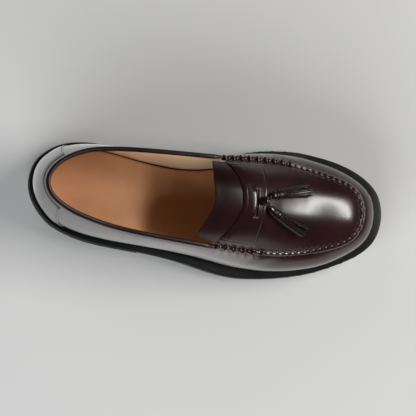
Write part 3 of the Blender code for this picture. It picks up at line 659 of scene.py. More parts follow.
def layerLoops(turns, insets, sideHeights, bottomShares, bottomHeights):
    # side points run from top to bottom; heights have one row for each turn
    turns = np.asarray(turns)[:, None]
    insets = np.asarray(insets)[None, :] + 0 * turns
    lateral = solePoint(turns + 0 * insets, insets, sideHeights)
    medial = solePoint(2 - turns + 0 * insets, insets, sideHeights)
    shares = np.asarray(bottomShares)[None, :, None]
    bottom = lateral[:, -1:] * (1 - shares) + medial[:, -1:] * shares
    bottom[..., 2] = bottomHeights
    top = (lateral[:, :1] + medial[:, :1]) / 2
    return np.concatenate([lateral, bottom, medial[:, ::-1], top], axis=1)


def layerPiece(name, loops, sharp=40):
    faces = gridFaces(*loops.shape[:2], closed=True)
    return makePiece(name, loops.reshape(-1, 3), faces, soleRubber, outward=True, sharp=sharp)


def layerDrop(name):
    drop = 0.0 if name == "welt" else shoe["welt"] + shoe["gap"]
    return drop + (shoe["midsole"] + shoe["gap"] if name == "outsole" else 0.0)


# Inset beyond the layer's own and share of the way down
layerProfiles = {
    "welt": [(.0120, -.03), (.0030, -.02), (.0022, .0), (.0009, .02), (.0003, .10), (.0, .28), (.0, .62),
             (.0004, .80), (.0011, .92), (.0030, 1)],
    "midsole": [(.0030, 0), (.0007, .02), (.0001, .12), (.0, .3), (.0, .7), (.0001, .88),
                (.0007, .98), (.0030, 1)],
}


def plainLayer(name, node, inset):
    thickness, profile = shoe[node], np.array(layerProfiles[node])
    turns = np.linspace(0, 1, treadSizes["stations"] * 2)
    top = weltTop(shareAt(outline, turns) * shoe["length"]) - layerDrop(name)
    heights = top[:, None] - thickness * profile[None, :, 1]
    loops = layerLoops(turns, inset + profile[:, 0], heights, [0.5], top[:, None] - thickness)
    dress(layerPiece(name, loops), "sole_rubber", node)


plainLayer("weltLedge", "welt", shoe["layerStep"])
plainLayer("midsoleBand", "midsole", 2 * shoe["layerStep"])


def treadStations(start, end, centre):
    # places along the tread with how far each has risen from lug to groove
    half, edge, shortest = treadSizes["groove"] / 2, treadSizes["edge"], treadSizes["shortest"]
    side = [(half + edge, 0), (half, .08), (half - edge * .7, .8), (half - 2 * edge, 1)]
    stations = []
    count = int(shoe["length"] / treadSizes["pitch"])
    for i in range(-count, count):
        middle = centre + (i + 0.5) * treadSizes["pitch"]
        if middle - half > start + shortest and middle + half < end - shortest:
            stations += [(middle - away, rise) for away, rise in side]
            stations += [(middle + away, rise) for away, rise in side[::-1]]
    first, last = stations[0][0], stations[-1][0]
    plain = shareAt(outline, np.linspace(0, 1, treadSizes["stations"])) * shoe["length"]
    stations += [(x, 0) for x in plain if start < x < first - 1e-5 or last + 1e-5 < x < end]
    lugs = sorted(stations)
    middles = [((a[0] + b[0]) / 2, a[1]) for a, b in zip(lugs, lugs[1:])
               if a[1] == b[1] and b[0] - a[0] > .003]
    return [(start, 0)] + sorted(lugs + middles) + [(end, 0)]


def treadColumns():
    columns = [(0.012, 0), (0.15, 0), (0.5, 0), (0.85, 0), (0.988, 0)]
    for start, end in treadSizes["channels"]:
        columns += [(start - .006, 0), (start, .08), (start + .008, .85), (start + .016, 1),
                    (end - .016, 1), (end - .008, .85), (end, .08), (end + .006, 0)]
    return sorted(columns)


def treadLevels(turns, rises, rowOn):
    shares, columnRise = np.array(treadColumns()).T
    lateral, medial = (solePoint(side, np.zeros(len(turns)), 0)[:, 1] for side in (turns, 2 - turns))
    wide = smoothStep((medial - lateral - treadSizes["widthForChannels"]) / 0.004)
    rise = np.maximum(np.asarray(rises)[:, None], columnRise[None, :] * wide[:, None])
    return shares, np.where(rowOn[:, None], rise, 1.0)


def outsolePiece():
    start, edge, step = treadSizes["start"], treadSizes["edge"], shoe["layerStep"]
    shank = shareAt(outline, np.linspace(0, 1, treadSizes["stations"])) * shoe["length"]
    rows = [(x, 1) for x in shank if x < start - 2 * edge]
    rows += [(start - 2 * edge, 1), (start - edge, .85), (start, .1), (start + edge, 0)]
    rows += treadStations(start, shoe["length"], treadSizes["forefootCentre"])[1:]
    places = np.array([x for x, _ in rows])
    turns = turnAt(outline, places / shoe["length"])
    under = weltTop(places) - layerDrop("outsole") - shoe["outsole"]
    shares, rise = treadLevels(turns, [r for _, r in rows], places >= start - 2 * edge)
    bottom = under[:, None] - shoe["lugDepth"] * (1 - rise)
    side = bottom[:, 0]
    height = under + shoe["outsole"] - side
    # inset, share of the height and extra height, down the side
    profile = [(step + .003, 1, 0), (step + .0004, 1, -.0001), (step, 1, -.0006), (step * .6, .70, 0),
               (step * .2, .35, 0), (.0, 0, .0016), (.0002, 0, .0005), (.0009, 0, .0001)]
    heights = np.stack([side + height * share + extra for _, share, extra in profile], axis=1)
    return layerPiece("outsoleTread", layerLoops(turns, [p[0] for p in profile], heights, shares, bottom), 50)


def heelPiece():
    rows = treadStations(0.0, shoe["heelLength"], shoe["heelCentre"])
    places = np.array([x for x, _ in rows])
    turns = turnAt(outline, places / shoe["length"])
    shares, rise = treadLevels(turns, [r for _, r in rows], places > -1)
    bottom = shoe["lugDepth"] * rise
    top = weltTop(places) - layerDrop("outsole") - shoe["outsole"] - shoe["gap"]
    line = treadSizes["liftLine"]
    # inset and height down the side, with a groove between the heel block and its top lift
    profile = [(.004, top), (.0009, top - .0001), (.0003, top - .0006), (.0003, (top + line + .001) / 2)]
    profile += [(inset, 0 * top + line + extra) for inset, extra in
                ((.0003, .0006), (.0009, 0), (.0002, -.0006), (.0001, -.002))]
    profile += [(inset, bottom[:, 0] + extra) for inset, extra in
                ((.0, .0012), (.0002, .0004), (.0009, .0001))]
    heights = np.stack([height for _, height in profile], axis=1)
    piece = layerPiece("heelBlock", layerLoops(turns, [p[0] for p in profile], heights, shares, bottom), 50)
    # its front is still an open loop
    shape = bmesh.new()
    shape.from_mesh(piece.data)
    bmesh.ops.holes_fill(shape, edges=[e for e in shape.edges if e.is_boundary], sides=0)
    bmesh.ops.recalc_face_normals(shape, faces=shape.faces)
    shape.to_mesh(piece.data)
    shape.free()
    return piece


dress(outsolePiece(), "sole_rubber", "outsole")
dress(heelPiece(), "sole_rubber", "heel")

insoleSizes = {"thickness": 0.0035, "clearance": 0.0008, "rounding": 0.0016, "edgeDrop": 0.0006,
               "dish": 0.0009, "columns": 40, "stations": 220}


def insolePiece():
    sizes = insoleSizes
    turns = np.linspace(0, 1, sizes["stations"])
    ledge = soften((footColumn("ledge") * shoe["width"])[:, 0], 3)[:, None]
    inner = shoe["wall"] + sizes["clearance"]

    def sides(extra):
        return [solePoint(side, sampleRound(ledge, side)[:, 0] + inner + extra, 0.0)
                for side in (turns, 2 - turns)]

    body = sides(sizes["rounding"])
    across = np.linspace(0, 1, sizes["columns"])
    shares = across[None, :, None]
    top = body[0][:, None] * (1 - shares) + body[1][:, None] * shares
    dish = sizes["dish"] * (1.4 * (2 * across - 1) ** 4 - 0.4)
    top[..., 2] = weltTop(top[..., 0]) + shoe["gap"] + sizes["thickness"] + dish[None, :] - .0002
    edges = []
    for height in (0.0, sizes["thickness"] - sizes["edgeDrop"]):
        for side in sides(0.0):
            side[:, 2] = weltTop(side[:, 0]) + shoe["gap"] + height
            edges.append(side[:, None])
    lowLateral, lowMedial, highLateral, highMedial = edges
    loops = np.concatenate([top, highMedial, lowMedial, lowLateral, highLateral], axis=1)
    faces = gridFaces(*loops.shape[:2], closed=True)
    return makePiece("insockPad", loops.reshape(-1, 3), faces, insockLeather, outward=True, sharp=60)


dress(insolePiece(), "insock_leather", "insole")
print("sole made")


# The upper

upperSizes = {"sideColumns": 280, "wallRows": 34, "acrossColumns": 72, "outerThickness": 0.0010,
              "liningThickness": 0.0008,
              "stitchPitch": 0.0053, "stitchPinch": 0.00050, "stitchBand": (0.0002, 0.0016),
              "lipPinch": 0.00022, "lipBand": (-0.0026, 0.0014), "edgeReach": 0.0022,
              "pleatPitch": 0.0073, "pleatRise": 0.0013, "pleatSlant": 55.0,
              "pleatEnds": {"lateral": 0.196, "medial": 0.214},
              "collarBand": 0.0040, "collarRoll": 0.00035, "collarGroove": 0.00035,
              "grooveReach": 0.00055,
              "reliefDrop": 0.0150, "reliefFade": 0.0100,
              # where the painted reflection on the walls starts, and how much of it the toe and the inside
              # wall lose, which paints shade there
              "waxFrom": 0.0030, "waxFade": 0.0030, "toePolish": 0.90, "polishFrom": 0.162,
              "polishFade": 0.055, "medialFade": 0.012, "liningGrid": (150, 20, 36),
              "medialPolish": 0.85, "medialFrom": 0.060}
# The lip's profile: share of its width inward, share of its rise
lipProfile = {"inward": [0, .05, .12, .22, .34, .46, .58, .68, .77, .86, .94, 1],
              "rise": [0, .42, .74, .98, 1.02, .92, .72, .50, .38, .46, .50, .30]}
# Soft troughs and ridges in the shoe's sizes: two ends, half width, depth (a ridge is below zero)
creases = [
    ((0.176, -0.047, 0.042), (0.196, -0.040, 0.056), 0.0042, 0.00030),
    ((0.184, -0.049, 0.040), (0.205, -0.042, 0.054), 0.0040, -0.00022),
    ((0.196, -0.050, 0.038), (0.214, -0.041, 0.051), 0.0045, 0.00026),
    ((0.186, 0.042, 0.046), (0.203, 0.040, 0.058), 0.0045, 0.00028),
    ((0.199, 0.045, 0.042), (0.215, 0.041, 0.054), 0.0042, -0.00020),
    ((0.211, 0.046, 0.038), (0.228, 0.039, 0.050), 0.0045, 0.00024),
    ((0.206, -0.018, 0.078), (0.209, 0.020, 0.078), 0.0050, 0.00014),
    ((0.110, -0.042, 0.062), (0.142, -0.044, 0.050), 0.0060, 0.00030),
    ((0.086, -0.038, 0.060), (0.112, -0.044, 0.046), 0.0060, -0.00022),
    ((0.104, 0.040, 0.066), (0.140, 0.037, 0.056), 0.0060, 0.00030),
]


def creaseDepth(points):
    depth = np.zeros(len(points))
    for start, end, reach, deepest in creases:
        way = np.subtract(end, start)
        along = np.clip(((points - start) @ way) / (way @ way), 0, 1)
        away = np.linalg.norm(points - (start + along[:, None] * way), axis=1)
        depth += deepest * np.sin(np.pi * (0.08 + 0.84 * along)) * bell(away, 0, reach)
    return depth


def sideTurns(count):
    # places along one side, evenly spaced on the top edge, with collar end and vamp start among them
    fine = np.linspace(0, 1, 4001)
    points = (sampleRound(topCurve, fine) + sampleRound(topCurve, 2 - fine) * np.array([1, -1, 1])) / 2
    length = np.append(0, np.cumsum(np.linalg.norm(np.diff(points, axis=0), axis=1)))
    turns = np.interp(np.linspace(0, length[-1], count), length, fine)
    marks = []
    for share in (shoe["collarEnd"], shoe["vampStart"]):
        turn = float(turnAt(topEdge, share))
        marks.append(int(np.argmin(np.abs(turns - turn))))
        turns[marks[-1]] = turn
    return turns, marks[0], marks[1]


def shellSurface(count, wallRows, acrossCount, lip):
    turns, collar, vamp = sideTurns(count)
    ring = np.concatenate([turns, 2 - turns[-2:0:-1]])
    around = len(ring)
    heights = np.linspace(0, 1, wallRows) ** 0.92
    wall = wallPoint(np.tile(ring, (wallRows, 1)), np.tile(heights[:, None], (1, around)))
    points = [wall.reshape(-1, 3)]
    faces = gridFaces(wallRows, around, closed=True)
    total = wallRows * around
    front = np.arange(collar, around - collar + 1)
    below = (wallRows - 1) * around + front
    entry = smoothStep(np.minimum(front - collar, around - collar - front) / 5.0)
    for inward, rise in zip(lip["inward"][1:], lip["rise"][1:]):
        points.append(seamPoint(ring[front], inward + 0 * entry, rise * entry))
        row = np.arange(total, total + len(front))
        faces += [(below[i], below[i + 1], row[i + 1], row[i]) for i in range(len(front) - 1)]
        below, total = row, total + len(front)
    across = np.linspace(0, 1, acrossCount)
    edgeRise = shoe["seamRise"] * lip["rise"][-1]
    previous = None
    for c in range(vamp, len(turns)):
        lateral, medial = below[c - collar], below[around - c - collar]
        if c == len(turns) - 1:
            row = [lateral] * acrossCount
        else:
            inner = vampPoint(turns[c], across[1:-1])
            away = np.minimum(np.linalg.norm(inner[:, :2] - inner[0, :2], axis=1),
                              np.linalg.norm(inner[:, :2] - inner[-1, :2], axis=1))
            inner[:, 2] += edgeRise * bell(away, 0, upperSizes["edgeReach"])
            points.append(inner)
            row = [lateral] + list(range(total, total + acrossCount - 2)) + [medial]
            total += acrossCount - 2
        if previous:
            for i in range(acrossCount - 1):
                faces.append((previous[i], row[i], row[i + 1], previous[i + 1]))
        previous = row
    faces = [tuple(int(i) for i in dict.fromkeys(f)) for f in faces]
    return np.concatenate(points), [f for f in faces if len(f) > 2], wallRows * around


def seamRelief(points):
    # stitches pinch the lip and the vamp's edge; further back the leather stands in pleats
    sizes = upperSizes
    place, inside, around = seamMeasure(points)
    inFront = smoothStep((points[:, 0] - shoe["collarEnd"] * shoe["length"]) / 0.003)
    ends = np.where(around > 1, sizes["pleatEnds"]["medial"], sizes["pleatEnds"]["lateral"])
    pleated = smoothStep((ends - points[:, 0]) / 0.008) * inFront
    phase = 2 * np.pi * place / sizes["stitchPitch"]
    pinch = (0.5 + 0.5 * np.cos(phase)) ** 2
    relief = -sizes["stitchPinch"] * pinch * bell(inside, *sizes["stitchBand"])
    relief -= sizes["lipPinch"] * pinch * bell(inside, *sizes["lipBand"])
    relief *= inFront * (1 - pleated)
    slant = np.where(around > 1, -1, 1) * sizes["pleatSlant"] * inside
    wave = 0.5 + 0.5 * np.cos(2 * np.pi * place / sizes["pleatPitch"] + 2 * np.pi * slant)
    band = smoothStep((inside + 0.0085) / 0.0050) * smoothStep((0.0012 - inside) / 0.0016)
    relief += sizes["pleatRise"] * pleated * band * (wave ** 1.3 - 0.25)
    drop = sampleRound(topCurve, around)[:, 2] - points[:, 2]
    return relief * smoothStep((sizes["reliefDrop"] - drop) / sizes["reliefFade"])


def collarRelief(points, around):
    # a rolled band under the binding that ends in a stitched groove
    sizes = upperSizes
    top = sampleRound(topCurve, around)
    down = np.linalg.norm(points - top, axis=1)
    behind = smoothStep((shoe["collarEnd"] * shoe["length"] + 0.002 - points[:, 0]) / 0.006)
    roll = np.sin(np.pi * np.clip(down / sizes["collarBand"], 0, 1)) ** 2
    groove = bell(down, sizes["collarBand"], sizes["grooveReach"])
    return behind * (sizes["collarRoll"] * roll - sizes["collarGroove"] * groove)


# painted reflection and shade: the walls are set to reflect more than the vamp, the toe and the inside wall
# less, though the leather is the same everywhere
def markPaintedReflection(piece):
    sizes = upperSizes
    mesh = piece.data
    points = np.empty(len(mesh.vertices) * 3)
    mesh.vertices.foreach_get("co", points)
    points = points.reshape(-1, 3) + heelBack
    _, inside, _ = seamMeasure(points)
    wax = smoothStep((-inside - sizes["waxFrom"]) / sizes["waxFade"])
    wax *= 1 - sizes["toePolish"] * smoothStep((points[:, 0] - sizes["polishFrom"]) / sizes["polishFade"])
    onInside = smoothStep(points[:, 1] / sizes["medialFade"])
    onInside = onInside * smoothStep((points[:, 0] - sizes["medialFrom"]) / sizes["polishFade"])
    wax *= 1 - sizes["medialPolish"] * onInside
    mesh.attributes.new("wax", "FLOAT", "POINT").data.foreach_set("value", wax)
    return piece


def upperPiece():
    sizes = upperSizes
    points, faces, wallCount = shellSurface(sizes["sideColumns"], sizes["wallRows"],
                                            sizes["acrossColumns"], lipProfile)
    normals = pointNormals(points, faces)
    relief = seamRelief(points) - creaseDepth(points)
    turns, _, _ = sideTurns(sizes["sideColumns"])
    ring = np.concatenate([turns, 2 - turns[-2:0:-1]])
    around = np.tile(ring, sizes["wallRows"])
    relief[:wallCount] += collarRelief(points[:wallCount], around)
    points = points + normals * relief[:, None]
    piece = makePiece("upperLeather", points, faces, burgundy, sharp=80)
    thicken(piece, sizes["outerThickness"], -1.0)
    return piece


def liningPiece():
    sizes = upperSizes
    flat = {"inward": [0, .35, .7, 1], "rise": [0, 0, 0, 0]}
    points, faces, _ = shellSurface(*sizes["liningGrid"], flat)
    points = points - pointNormals(points, faces) * (shoe["wall"] - sizes["liningThickness"])
    piece = makePiece("upperLining", points, faces, liningLeather, sharp=80)
    thicken(piece, sizes["liningThickness"], -1.0)
    return piece


dress(markPaintedReflection(upperPiece()), "upper_leather", "upper")
dress(liningPiece(), "insock_leather", "upper")
print("upper made")

# Stitches of the seam: fine ones round the vamp, thick slanted ones further back
seamStitches = {
    "fine": {"Pitch": 0.0053, "Length": 0.0026, "Width": 0.0015, "Height": 0.0014, "Unevenness": 0.12,
             "Seed": 5},
    "whip": {"Pitch": 0.0073, "Length": 0.0066, "Width": 0.0030, "Height": 0.0024, "Slant": 1.15, "Seed": 8},
}
# Each path's place on the lip: share inward, share of the rise
seamPlaces = {"fine": (0.93, 0.62), "whip": (0.46, 1.05), "lean": 0.35}


def outwardAt(around):
    return np.column_stack([sampleRound(topNormals, around), np.zeros(len(around))])


def seamPath(kind, start, end, count=300):
    # the path runs the way the seam does, with lifts square to the lip
    around = np.linspace(start, end, count)
    inward, rise = seamPlaces[kind]
    points = seamPoint(around, np.full(count, inward), rise)
    return [(points, unit(outwardAt(around) * seamPlaces["lean"] + np.array([0, 0, 1])))]


def turnOfX(x):
    return float(turnAt(topEdge, x / shoe["length"]))


lateralEnd, medialEnd = (upperSizes["pleatEnds"][side] for side in ("lateral", "medial"))
collarTurn, backStart = (turnOfX(shoe["collarEnd"] * shoe["length"] + past) for past in (0, 0.003))
finePath = seamPath("fine", turnOfX(lateralEnd + .002), 2 - turnOfX(medialEnd + .002), 900)
dress(grow("seamStitches", stitches, finePath, seamThreadAndGlint, seamStitches["fine"]), "upper_leather")
whipRuns = {"Lateral": (backStart, turnOfX(lateralEnd), 1),
            "Medial": (2 - turnOfX(medialEnd), 2 - backStart, -1)}
for side, (start, end, way) in whipRuns.items():
    settings = dict(seamStitches["whip"], Slant=way * seamStitches["whip"]["Slant"])
    dress(grow("whipStitches" + side, stitches, seamPath("whip", start, end), burgundy, settings),
          "upper_leather")

# The rolled binding on the collar, with its line of stitches in the groove below
bindingSizes = {"width": 0.0039, "height": 0.0033, "centre": 0.0014, "sides": 18, "stations": 520,
                "ripple": 0.0473684, "past": 0.0035, "tipRows": 9.0, "tipWidth": 0.55, "tipDrop": 0.0010,
                "stitchSunk": 0.0002, "stitchStop": 0.01,
                "stitch": {"Pitch": 0.0026, "Length": 0.0019, "Width": 0.00055, "Height": 0.00045,
                           "Seed": 11}}


def bindingPiece():
    sizes = bindingSizes
    end = collarTurn + sizes["past"]
    around = np.linspace(2 - end, 2 + end, sizes["stations"])
    outward = outwardAt(around)
    centre = sampleRound(topCurve, around) - outward * shoe["wall"] / 2
    row = np.arange(len(around))
    tip = smoothStep(np.minimum(row, row[::-1]) / sizes["tipRows"])
    centre[:, 2] += shoe["gap"] + sizes["centre"] - sizes["tipDrop"] * (1 - tip)
    angles = ringAngles(sizes["sides"])
    wave = np.sin(row * 1.9)[:, None] * np.sin(angles * 2)[None, :]
    taper = sizes["tipWidth"] + (1 - sizes["tipWidth"]) * tip
    half = taper[:, None] * (1 + sizes["ripple"] * wave) / 2
    rings = centre[:, None] + outward[:, None] * (sizes["width"] * np.cos(angles) * half)[..., None]
    rings[..., 2] += sizes["height"] * np.sin(angles) * half
    return tube(rings, "collarBinding", bindingLeather, sharp=70)


def collarPath():
    # a line round the wall, a set distance below its top edge
    end = collarTurn - bindingSizes["stitchStop"]
    around = np.linspace(2 - end, 2 + end, 700)
    top = np.ones(len(around))
    height = top.copy()
    for _ in range(6):
        gap = np.linalg.norm(wallPoint(around, height) - wallPoint(around, top), axis=1)
        height -= (upperSizes["collarBand"] - gap) / 0.045
    normal = wallNormal(around, np.minimum(height, 0.998))
    return [(wallPoint(around, height) - normal * bindingSizes["stitchSunk"], normal)]


dress(bindingPiece(), "binding_leather", "topline_binding")
dress(grow("collarStitches", stitches, collarPath(), fineThread, bindingSizes["stitch"]), "upper_leather")

# The heel counter, laid on the wall
counterSizes = {"thickness": 0.0011, "lift": 0.00005, "inset": 0.0017, "turnLength": 0.35, "bevel": 0.0003,
                "top": 0.905, "topSunk": 0.0009, "sunkBand": 0.05,
                "stitch": {"Pitch": 0.0025, "Length": 0.0018, "Width": 0.00055, "Height": 0.00045,
                           "Seed": 21}}


def counterPiece():
    sizes = counterSizes
    heights = np.linspace(counterEdge["height"][0], sizes["top"], 30)
    ends = easeCurve(counterEdge["height"], counterEdge["turn"], heights)
    spread = np.linspace(-1, 1, 120)
    around = 2 + ends[:, None] * spread[None, :]
    height = np.tile(heights[:, None], (1, len(spread)))
    sunk = sizes["topSunk"] * smoothStep((height - sizes["top"] + sizes["sunkBand"]) / sizes["sunkBand"])
    points = wallPoint(around, height) + wallNormal(around, height) * (sizes["lift"] - sunk)[..., None]
    faces = gridFaces(len(heights), len(spread))
    piece = makePiece("heelCounter", points.reshape(-1, 3), faces, burgundy)
    thicken(piece, sizes["thickness"], 1.0, sizes["bevel"])
    return piece


def counterPaths():
    sizes = counterSizes
    heights = np.linspace(counterEdge["height"][0] + .02, sizes["top"] - .03, 90)
    turns = easeCurve(counterEdge["height"], counterEdge["turn"], heights)
    turns = turns - sizes["inset"] / sizes["turnLength"]
    paths = []
    for around in (2 + turns, 2 - turns):
        normal = wallNormal(around, heights)
        paths.append((wallPoint(around, heights) + normal * (sizes["lift"] + sizes["thickness"]), normal))
    return paths


dress(markPaintedReflection(counterPiece()), "upper_leather", "heel_counter")
dress(grow("counterStitches", stitches, counterPaths(), fineThread, counterSizes["stitch"]), "upper_leather")

# Tongue and strap across the instep
tongueSizes = {"thickness": 0.0020, "bevel": 0.0007, "curl": 0.0002, "columns": 90, "rows": 46}


def tonguePiece():
    sizes = tongueSizes
    across = np.linspace(tongueEdge["across"][0], tongueEdge["across"][-1], sizes["columns"])
    rear = easeCurve(tongueEdge["across"], tongueEdge["rear"], across)
    front = shoe["vampStart"] - shoe["gap"] / shoe["length"]
    rows = np.linspace(0, 1, sizes["rows"])
    share = rear[:, None] + (front - rear)[:, None] * rows[None, :]
    behind = (share - rear[:, None]) * shoe["length"]
    lift = -sizes["thickness"] + sizes["curl"] * np.exp(-(behind / 0.0035) ** 2)
    points = vampLifted(share, np.tile(across[:, None], (1, sizes["rows"])), lift)
    faces = gridFaces(len(across), len(rows))
    piece = makePiece("tongueLeather", points.reshape(-1, 3), faces, burgundy, sharp=60)
    thicken(piece, sizes["thickness"], 1.0, sizes["bevel"])
    return piece


strapSizes = {"thickness": 0.0017, "bevel": 0.00045, "thinnest": 0.25, "ends": (0.012, 0.988), "bump": 0.0010,
              "slitRows": (0.57, 0.67), "slitColumns": (0.37, 0.66), "bumpRows": (0.16, 0.50, 0.60),
              "bumpEnds": 0.05, "rollDepth": 0.0010, "rollReach": 0.0058, "grooveDepth": 0.00026,
              "grooveReach": 0.00055, "frontLine": 0.0016, "rearLine": 0.0034, "rearWeight": 0.35,
              "endLines": (0.080, 0.920), "acrossLength": 0.072, "sunkStitch": 0.0002,
              "tackRows": (0.50, 0.72), "tackAway": 0.008,
              "stitch": {"Pitch": 0.0026, "Length": 0.0019, "Width": 0.00060, "Height": 0.00050, "Seed": 31},
              "tack": {"Pitch": 0.00075, "Length": 0.0009, "Width": 0.0016, "Height": 0.0006,
                       "Unevenness": 0.2, "Seed": 41}}


def strapBump(row, across):
    # the thong passes under the strap behind the slit and lifts it a little
    sizes = strapSizes
    low, high = sizes["slitColumns"]
    rear, crest, front = sizes["bumpRows"]
    ends = sizes["bumpEnds"]
    side = np.minimum(across - low + ends, high + ends - across) / (2 * ends)
    along = smoothStep((row - rear) / (crest - rear)) * smoothStep((front - row) / (front - crest))
    return sizes["bump"] * smoothStep(side) * along


def strapRelief(row, across, length):
    # the rear edge rolls down; a pressed line runs along the front edge and across both ends
    sizes = strapSizes
    fromRear, fromFront = row * length, (1 - row) * length
    relief = -sizes["rollDepth"] * np.clip(1 - fromRear / sizes["rollReach"], 0, 1) ** 2
    start, end = sizes["endLines"]
    inner = smoothStep((across - start) / 0.01) * smoothStep((end - across) / 0.01)
    lines = [(fromFront - sizes["frontLine"], inner),
             (fromRear - sizes["rearLine"], sizes["rearWeight"] * inner)]
    lines += [((across - place) * sizes["acrossLength"], 1.0) for place in (start, end)]
    for away, weight in lines:
        relief = relief - sizes["grooveDepth"] * weight * bell(away, 0, sizes["grooveReach"])
    return relief


def strapEnds(across):
    return [easeCurve(strapEdges["across"], strapEdges[name], across) for name in ("rear", "front")]


def strapPoint(across, row, above=0.0):
    # a point on the strap's underside, or above it along the vamp's normal
    across, row = np.broadcast_arrays(np.asarray(across, float), np.asarray(row, float))
    rear, front = strapEnds(across)
    relief = strapBump(row, across) + strapRelief(row, across, (front - rear) * shoe["length"])
    return vampLifted(rear + (front - rear) * row, across, shoe["gap"] + relief + above)


def strapPiece():
    sizes = strapSizes
    low, high = sizes["slitRows"]
    left, right = sizes["slitColumns"]
    rows = runs([0, .2, low, high, .84, 1], [16, 18, 5, 8, 16])
    columns = runs([sizes["ends"][0], .11, left, right, .89, sizes["ends"][1]], [20, 28, 34, 28, 20])
    points = strapPoint(columns[:, None], rows[None, :])
    faces = []
    for r in range(len(columns) - 1):
        for c in range(len(rows) - 1):
            inSlit = left - 1e-6 < columns[r] < right - 1e-6 and low - 1e-6 < rows[c] < high - 1e-6
            if not inSlit:
                a = r * len(rows) + c
                faces.append((a, a + 1, a + len(rows) + 1, a + len(rows)))
    piece = makePiece("strapLeather", points.reshape(-1, 3), faces, burgundy, sharp=60)
    body = piece.vertex_groups.new(name="body")
    for vertex in piece.data.vertices:
        across = vampPlace(np.array(vertex.co.x + shoe["heelCentre"]), vertex.co.y)[1]
        edge = float(min(across, 1 - across))
        body.add([vertex.index], float(smoothStep((edge - 0.01) / 0.07)), "REPLACE")
    thicken(piece, sizes["thickness"], 1.0, sizes["bevel"], "body", sizes["thinnest"])
    return piece


def strapLine(across, row, above):
    rear, front = strapEnds(across)
    return strapPoint(across, row, above), vampNormal(turnAt(topEdge, rear + (front - rear) * row), across)


def strapPaths():
    sizes = strapSizes
    run, short = np.linspace(0.075, 0.925, 260), np.linspace(0.06, 0.94, 60)
    rear, front = strapEnds(run)
    length = (front - rear) * shoe["length"]
    thick = sizes["thickness"]
    paths = [strapLine(run, sizes["rearLine"] / length, thick - sizes["sunkStitch"]),
             strapLine(run, 1 - sizes["frontLine"] / length, thick)]
    return paths + [strapLine(end + 0 * short, short, thick) for end in sizes["endLines"]]


def tackPaths():
    rows = np.linspace(*strapSizes["tackRows"], 20)
    ends = np.array(strapSizes["slitColumns"]) + strapSizes["tackAway"] * np.array([-1, 1])
    return [strapLine(end + 0 * rows, rows, strapSizes["thickness"]) for end in ends]


dress(tonguePiece(), "upper_leather", "tongue")
dress(strapPiece(), "upper_leather", "strap")
dress(grow("strapStitches", stitches, strapPaths(), fineThread, strapSizes["stitch"]), "upper_leather")
dress(grow("slitTacks", stitches, tackPaths(), tanThread, strapSizes["tack"]), "upper_leather")
print("tongue and strap made")

# Knot and tassels
knotSizes = {"width": 0.0084, "height": 0.0074, "forward": 0.0042, "inward": 0.0025, "thong": 0.0012,
             "wrapRise": 0.20, "grooves": (0.62, 1.26), "grooveDepth": 0.10, "grooveReach": 0.06}
knotTable = {"forward": [0, .01, .17, .42, .68, 1, 1.3, 1.48], "up": [-.5, .12, .52, .8, .96, 1, .96, .9],
             "tilt": [90, 80, 32, 8, 0, 0, -6, -12], "width": [.36, .35, .36, .5, .88, 1, .88, .5],
             "height": [0, 0, .1, .52, .86, 1, .84, .46]}
thongSizes = {"thickness": 0.0017, "flatness": 1.25, "start": (.0012, 0, -.0002), "into": 0.04,
              "arch": 0.0006, "rows": 12}
tasselSizes = {"length": 0.0374, "width": 0.0086, "flatness": 0.74, "tipWidths": (.06, .19, .27),
               "pleats": 0.018, "capEnd": 0.44, "strips": 12, "stripWidth": 0.0024, "stripThickness": 0.0008,
               "stripEnd": 0.985, "spread": (0.70, 0.42), "splay": 0.132, "unevenEnds": 0.03, "seed": 17}
tasselShape = {"along": [0, .05, .14, .25, .27, .31, .33, .37, .41, .44],
               "width": [.24, .56, .74, .8, .94, .94, .8, .93, .93, .78]}
# Where a tassel leaves the knot in degrees, then its bend and end in its own lengths
tasselLie = {
    "tasselMedial": {"node": "tassel_medial", "leaves": 52, "bend": (.30, .19), "end": (1.00, .32)},
    "tasselLateral": {"node": "tassel_lateral", "leaves": -64, "bend": (.28, -.29), "end": (.97, -.53)},
}


def knotFrame():
    reach = shoe["collarEnd"] * shoe["length"]
    slitMiddle = sum(strapSizes["slitRows"]) / 2
    for _ in range(4):
        across = vampPlace(np.array(reach), knotSizes["inward"])[1]
        rear, front = strapEnds(across)
        reach = float((rear + (front - rear) * slitMiddle) * shoe["length"])
    slit = vampLifted(reach / shoe["length"], across, shoe["gap"] + strapSizes["thickness"])
    turn, across = vampPlace(np.array(reach + knotSizes["forward"]), knotSizes["inward"])
    lift = 2 * shoe["gap"] + strapSizes["thickness"] + knotSizes["height"] / 2
    return slit, vampPoint(turn, across) + vampNormal(turn, across) * lift


slitPlace, knotCentre = knotFrame()
knotWay = knotCentre - slitPlace


def knotPiece():
    sizes = knotSizes
    rows = np.arange(len(knotTable["forward"]))
    at = np.linspace(0, rows[-1], 60)
    read = {name: easeCurve(rows, values, at) for name, values in knotTable.items()}
    middle = np.column_stack([slitPlace[0] + knotWay[0] * read["forward"], np.full(len(at), knotCentre[1]),
                              slitPlace[2] + knotWay[2] * read["up"]])
    tilt = np.radians(read["tilt"])
    thick = np.maximum(read["height"] * sizes["height"] / 2, sizes["thong"] / 2)
    # a crossing wrap stands a little proud over the middle, between two grooves
    wrap = 1 + sizes["wrapRise"] * np.exp(-((read["forward"] - 0.95) / 0.30) ** 4)
    groove = 1.0
    for place in sizes["grooves"]:
        groove = groove - sizes["grooveDepth"] * bell(read["forward"], place, sizes["grooveReach"])
    rise = np.stack([-np.sin(tilt), 0 * tilt, np.cos(tilt)], axis=1) * (thick * wrap * groove)[:, None]
    side = np.zeros_like(rise)
    side[:, 1] = read["width"] * sizes["width"] / 2 * groove
    return tube(ringsRound(middle, side, rise, 32), "laceKnot", tasselLeather)


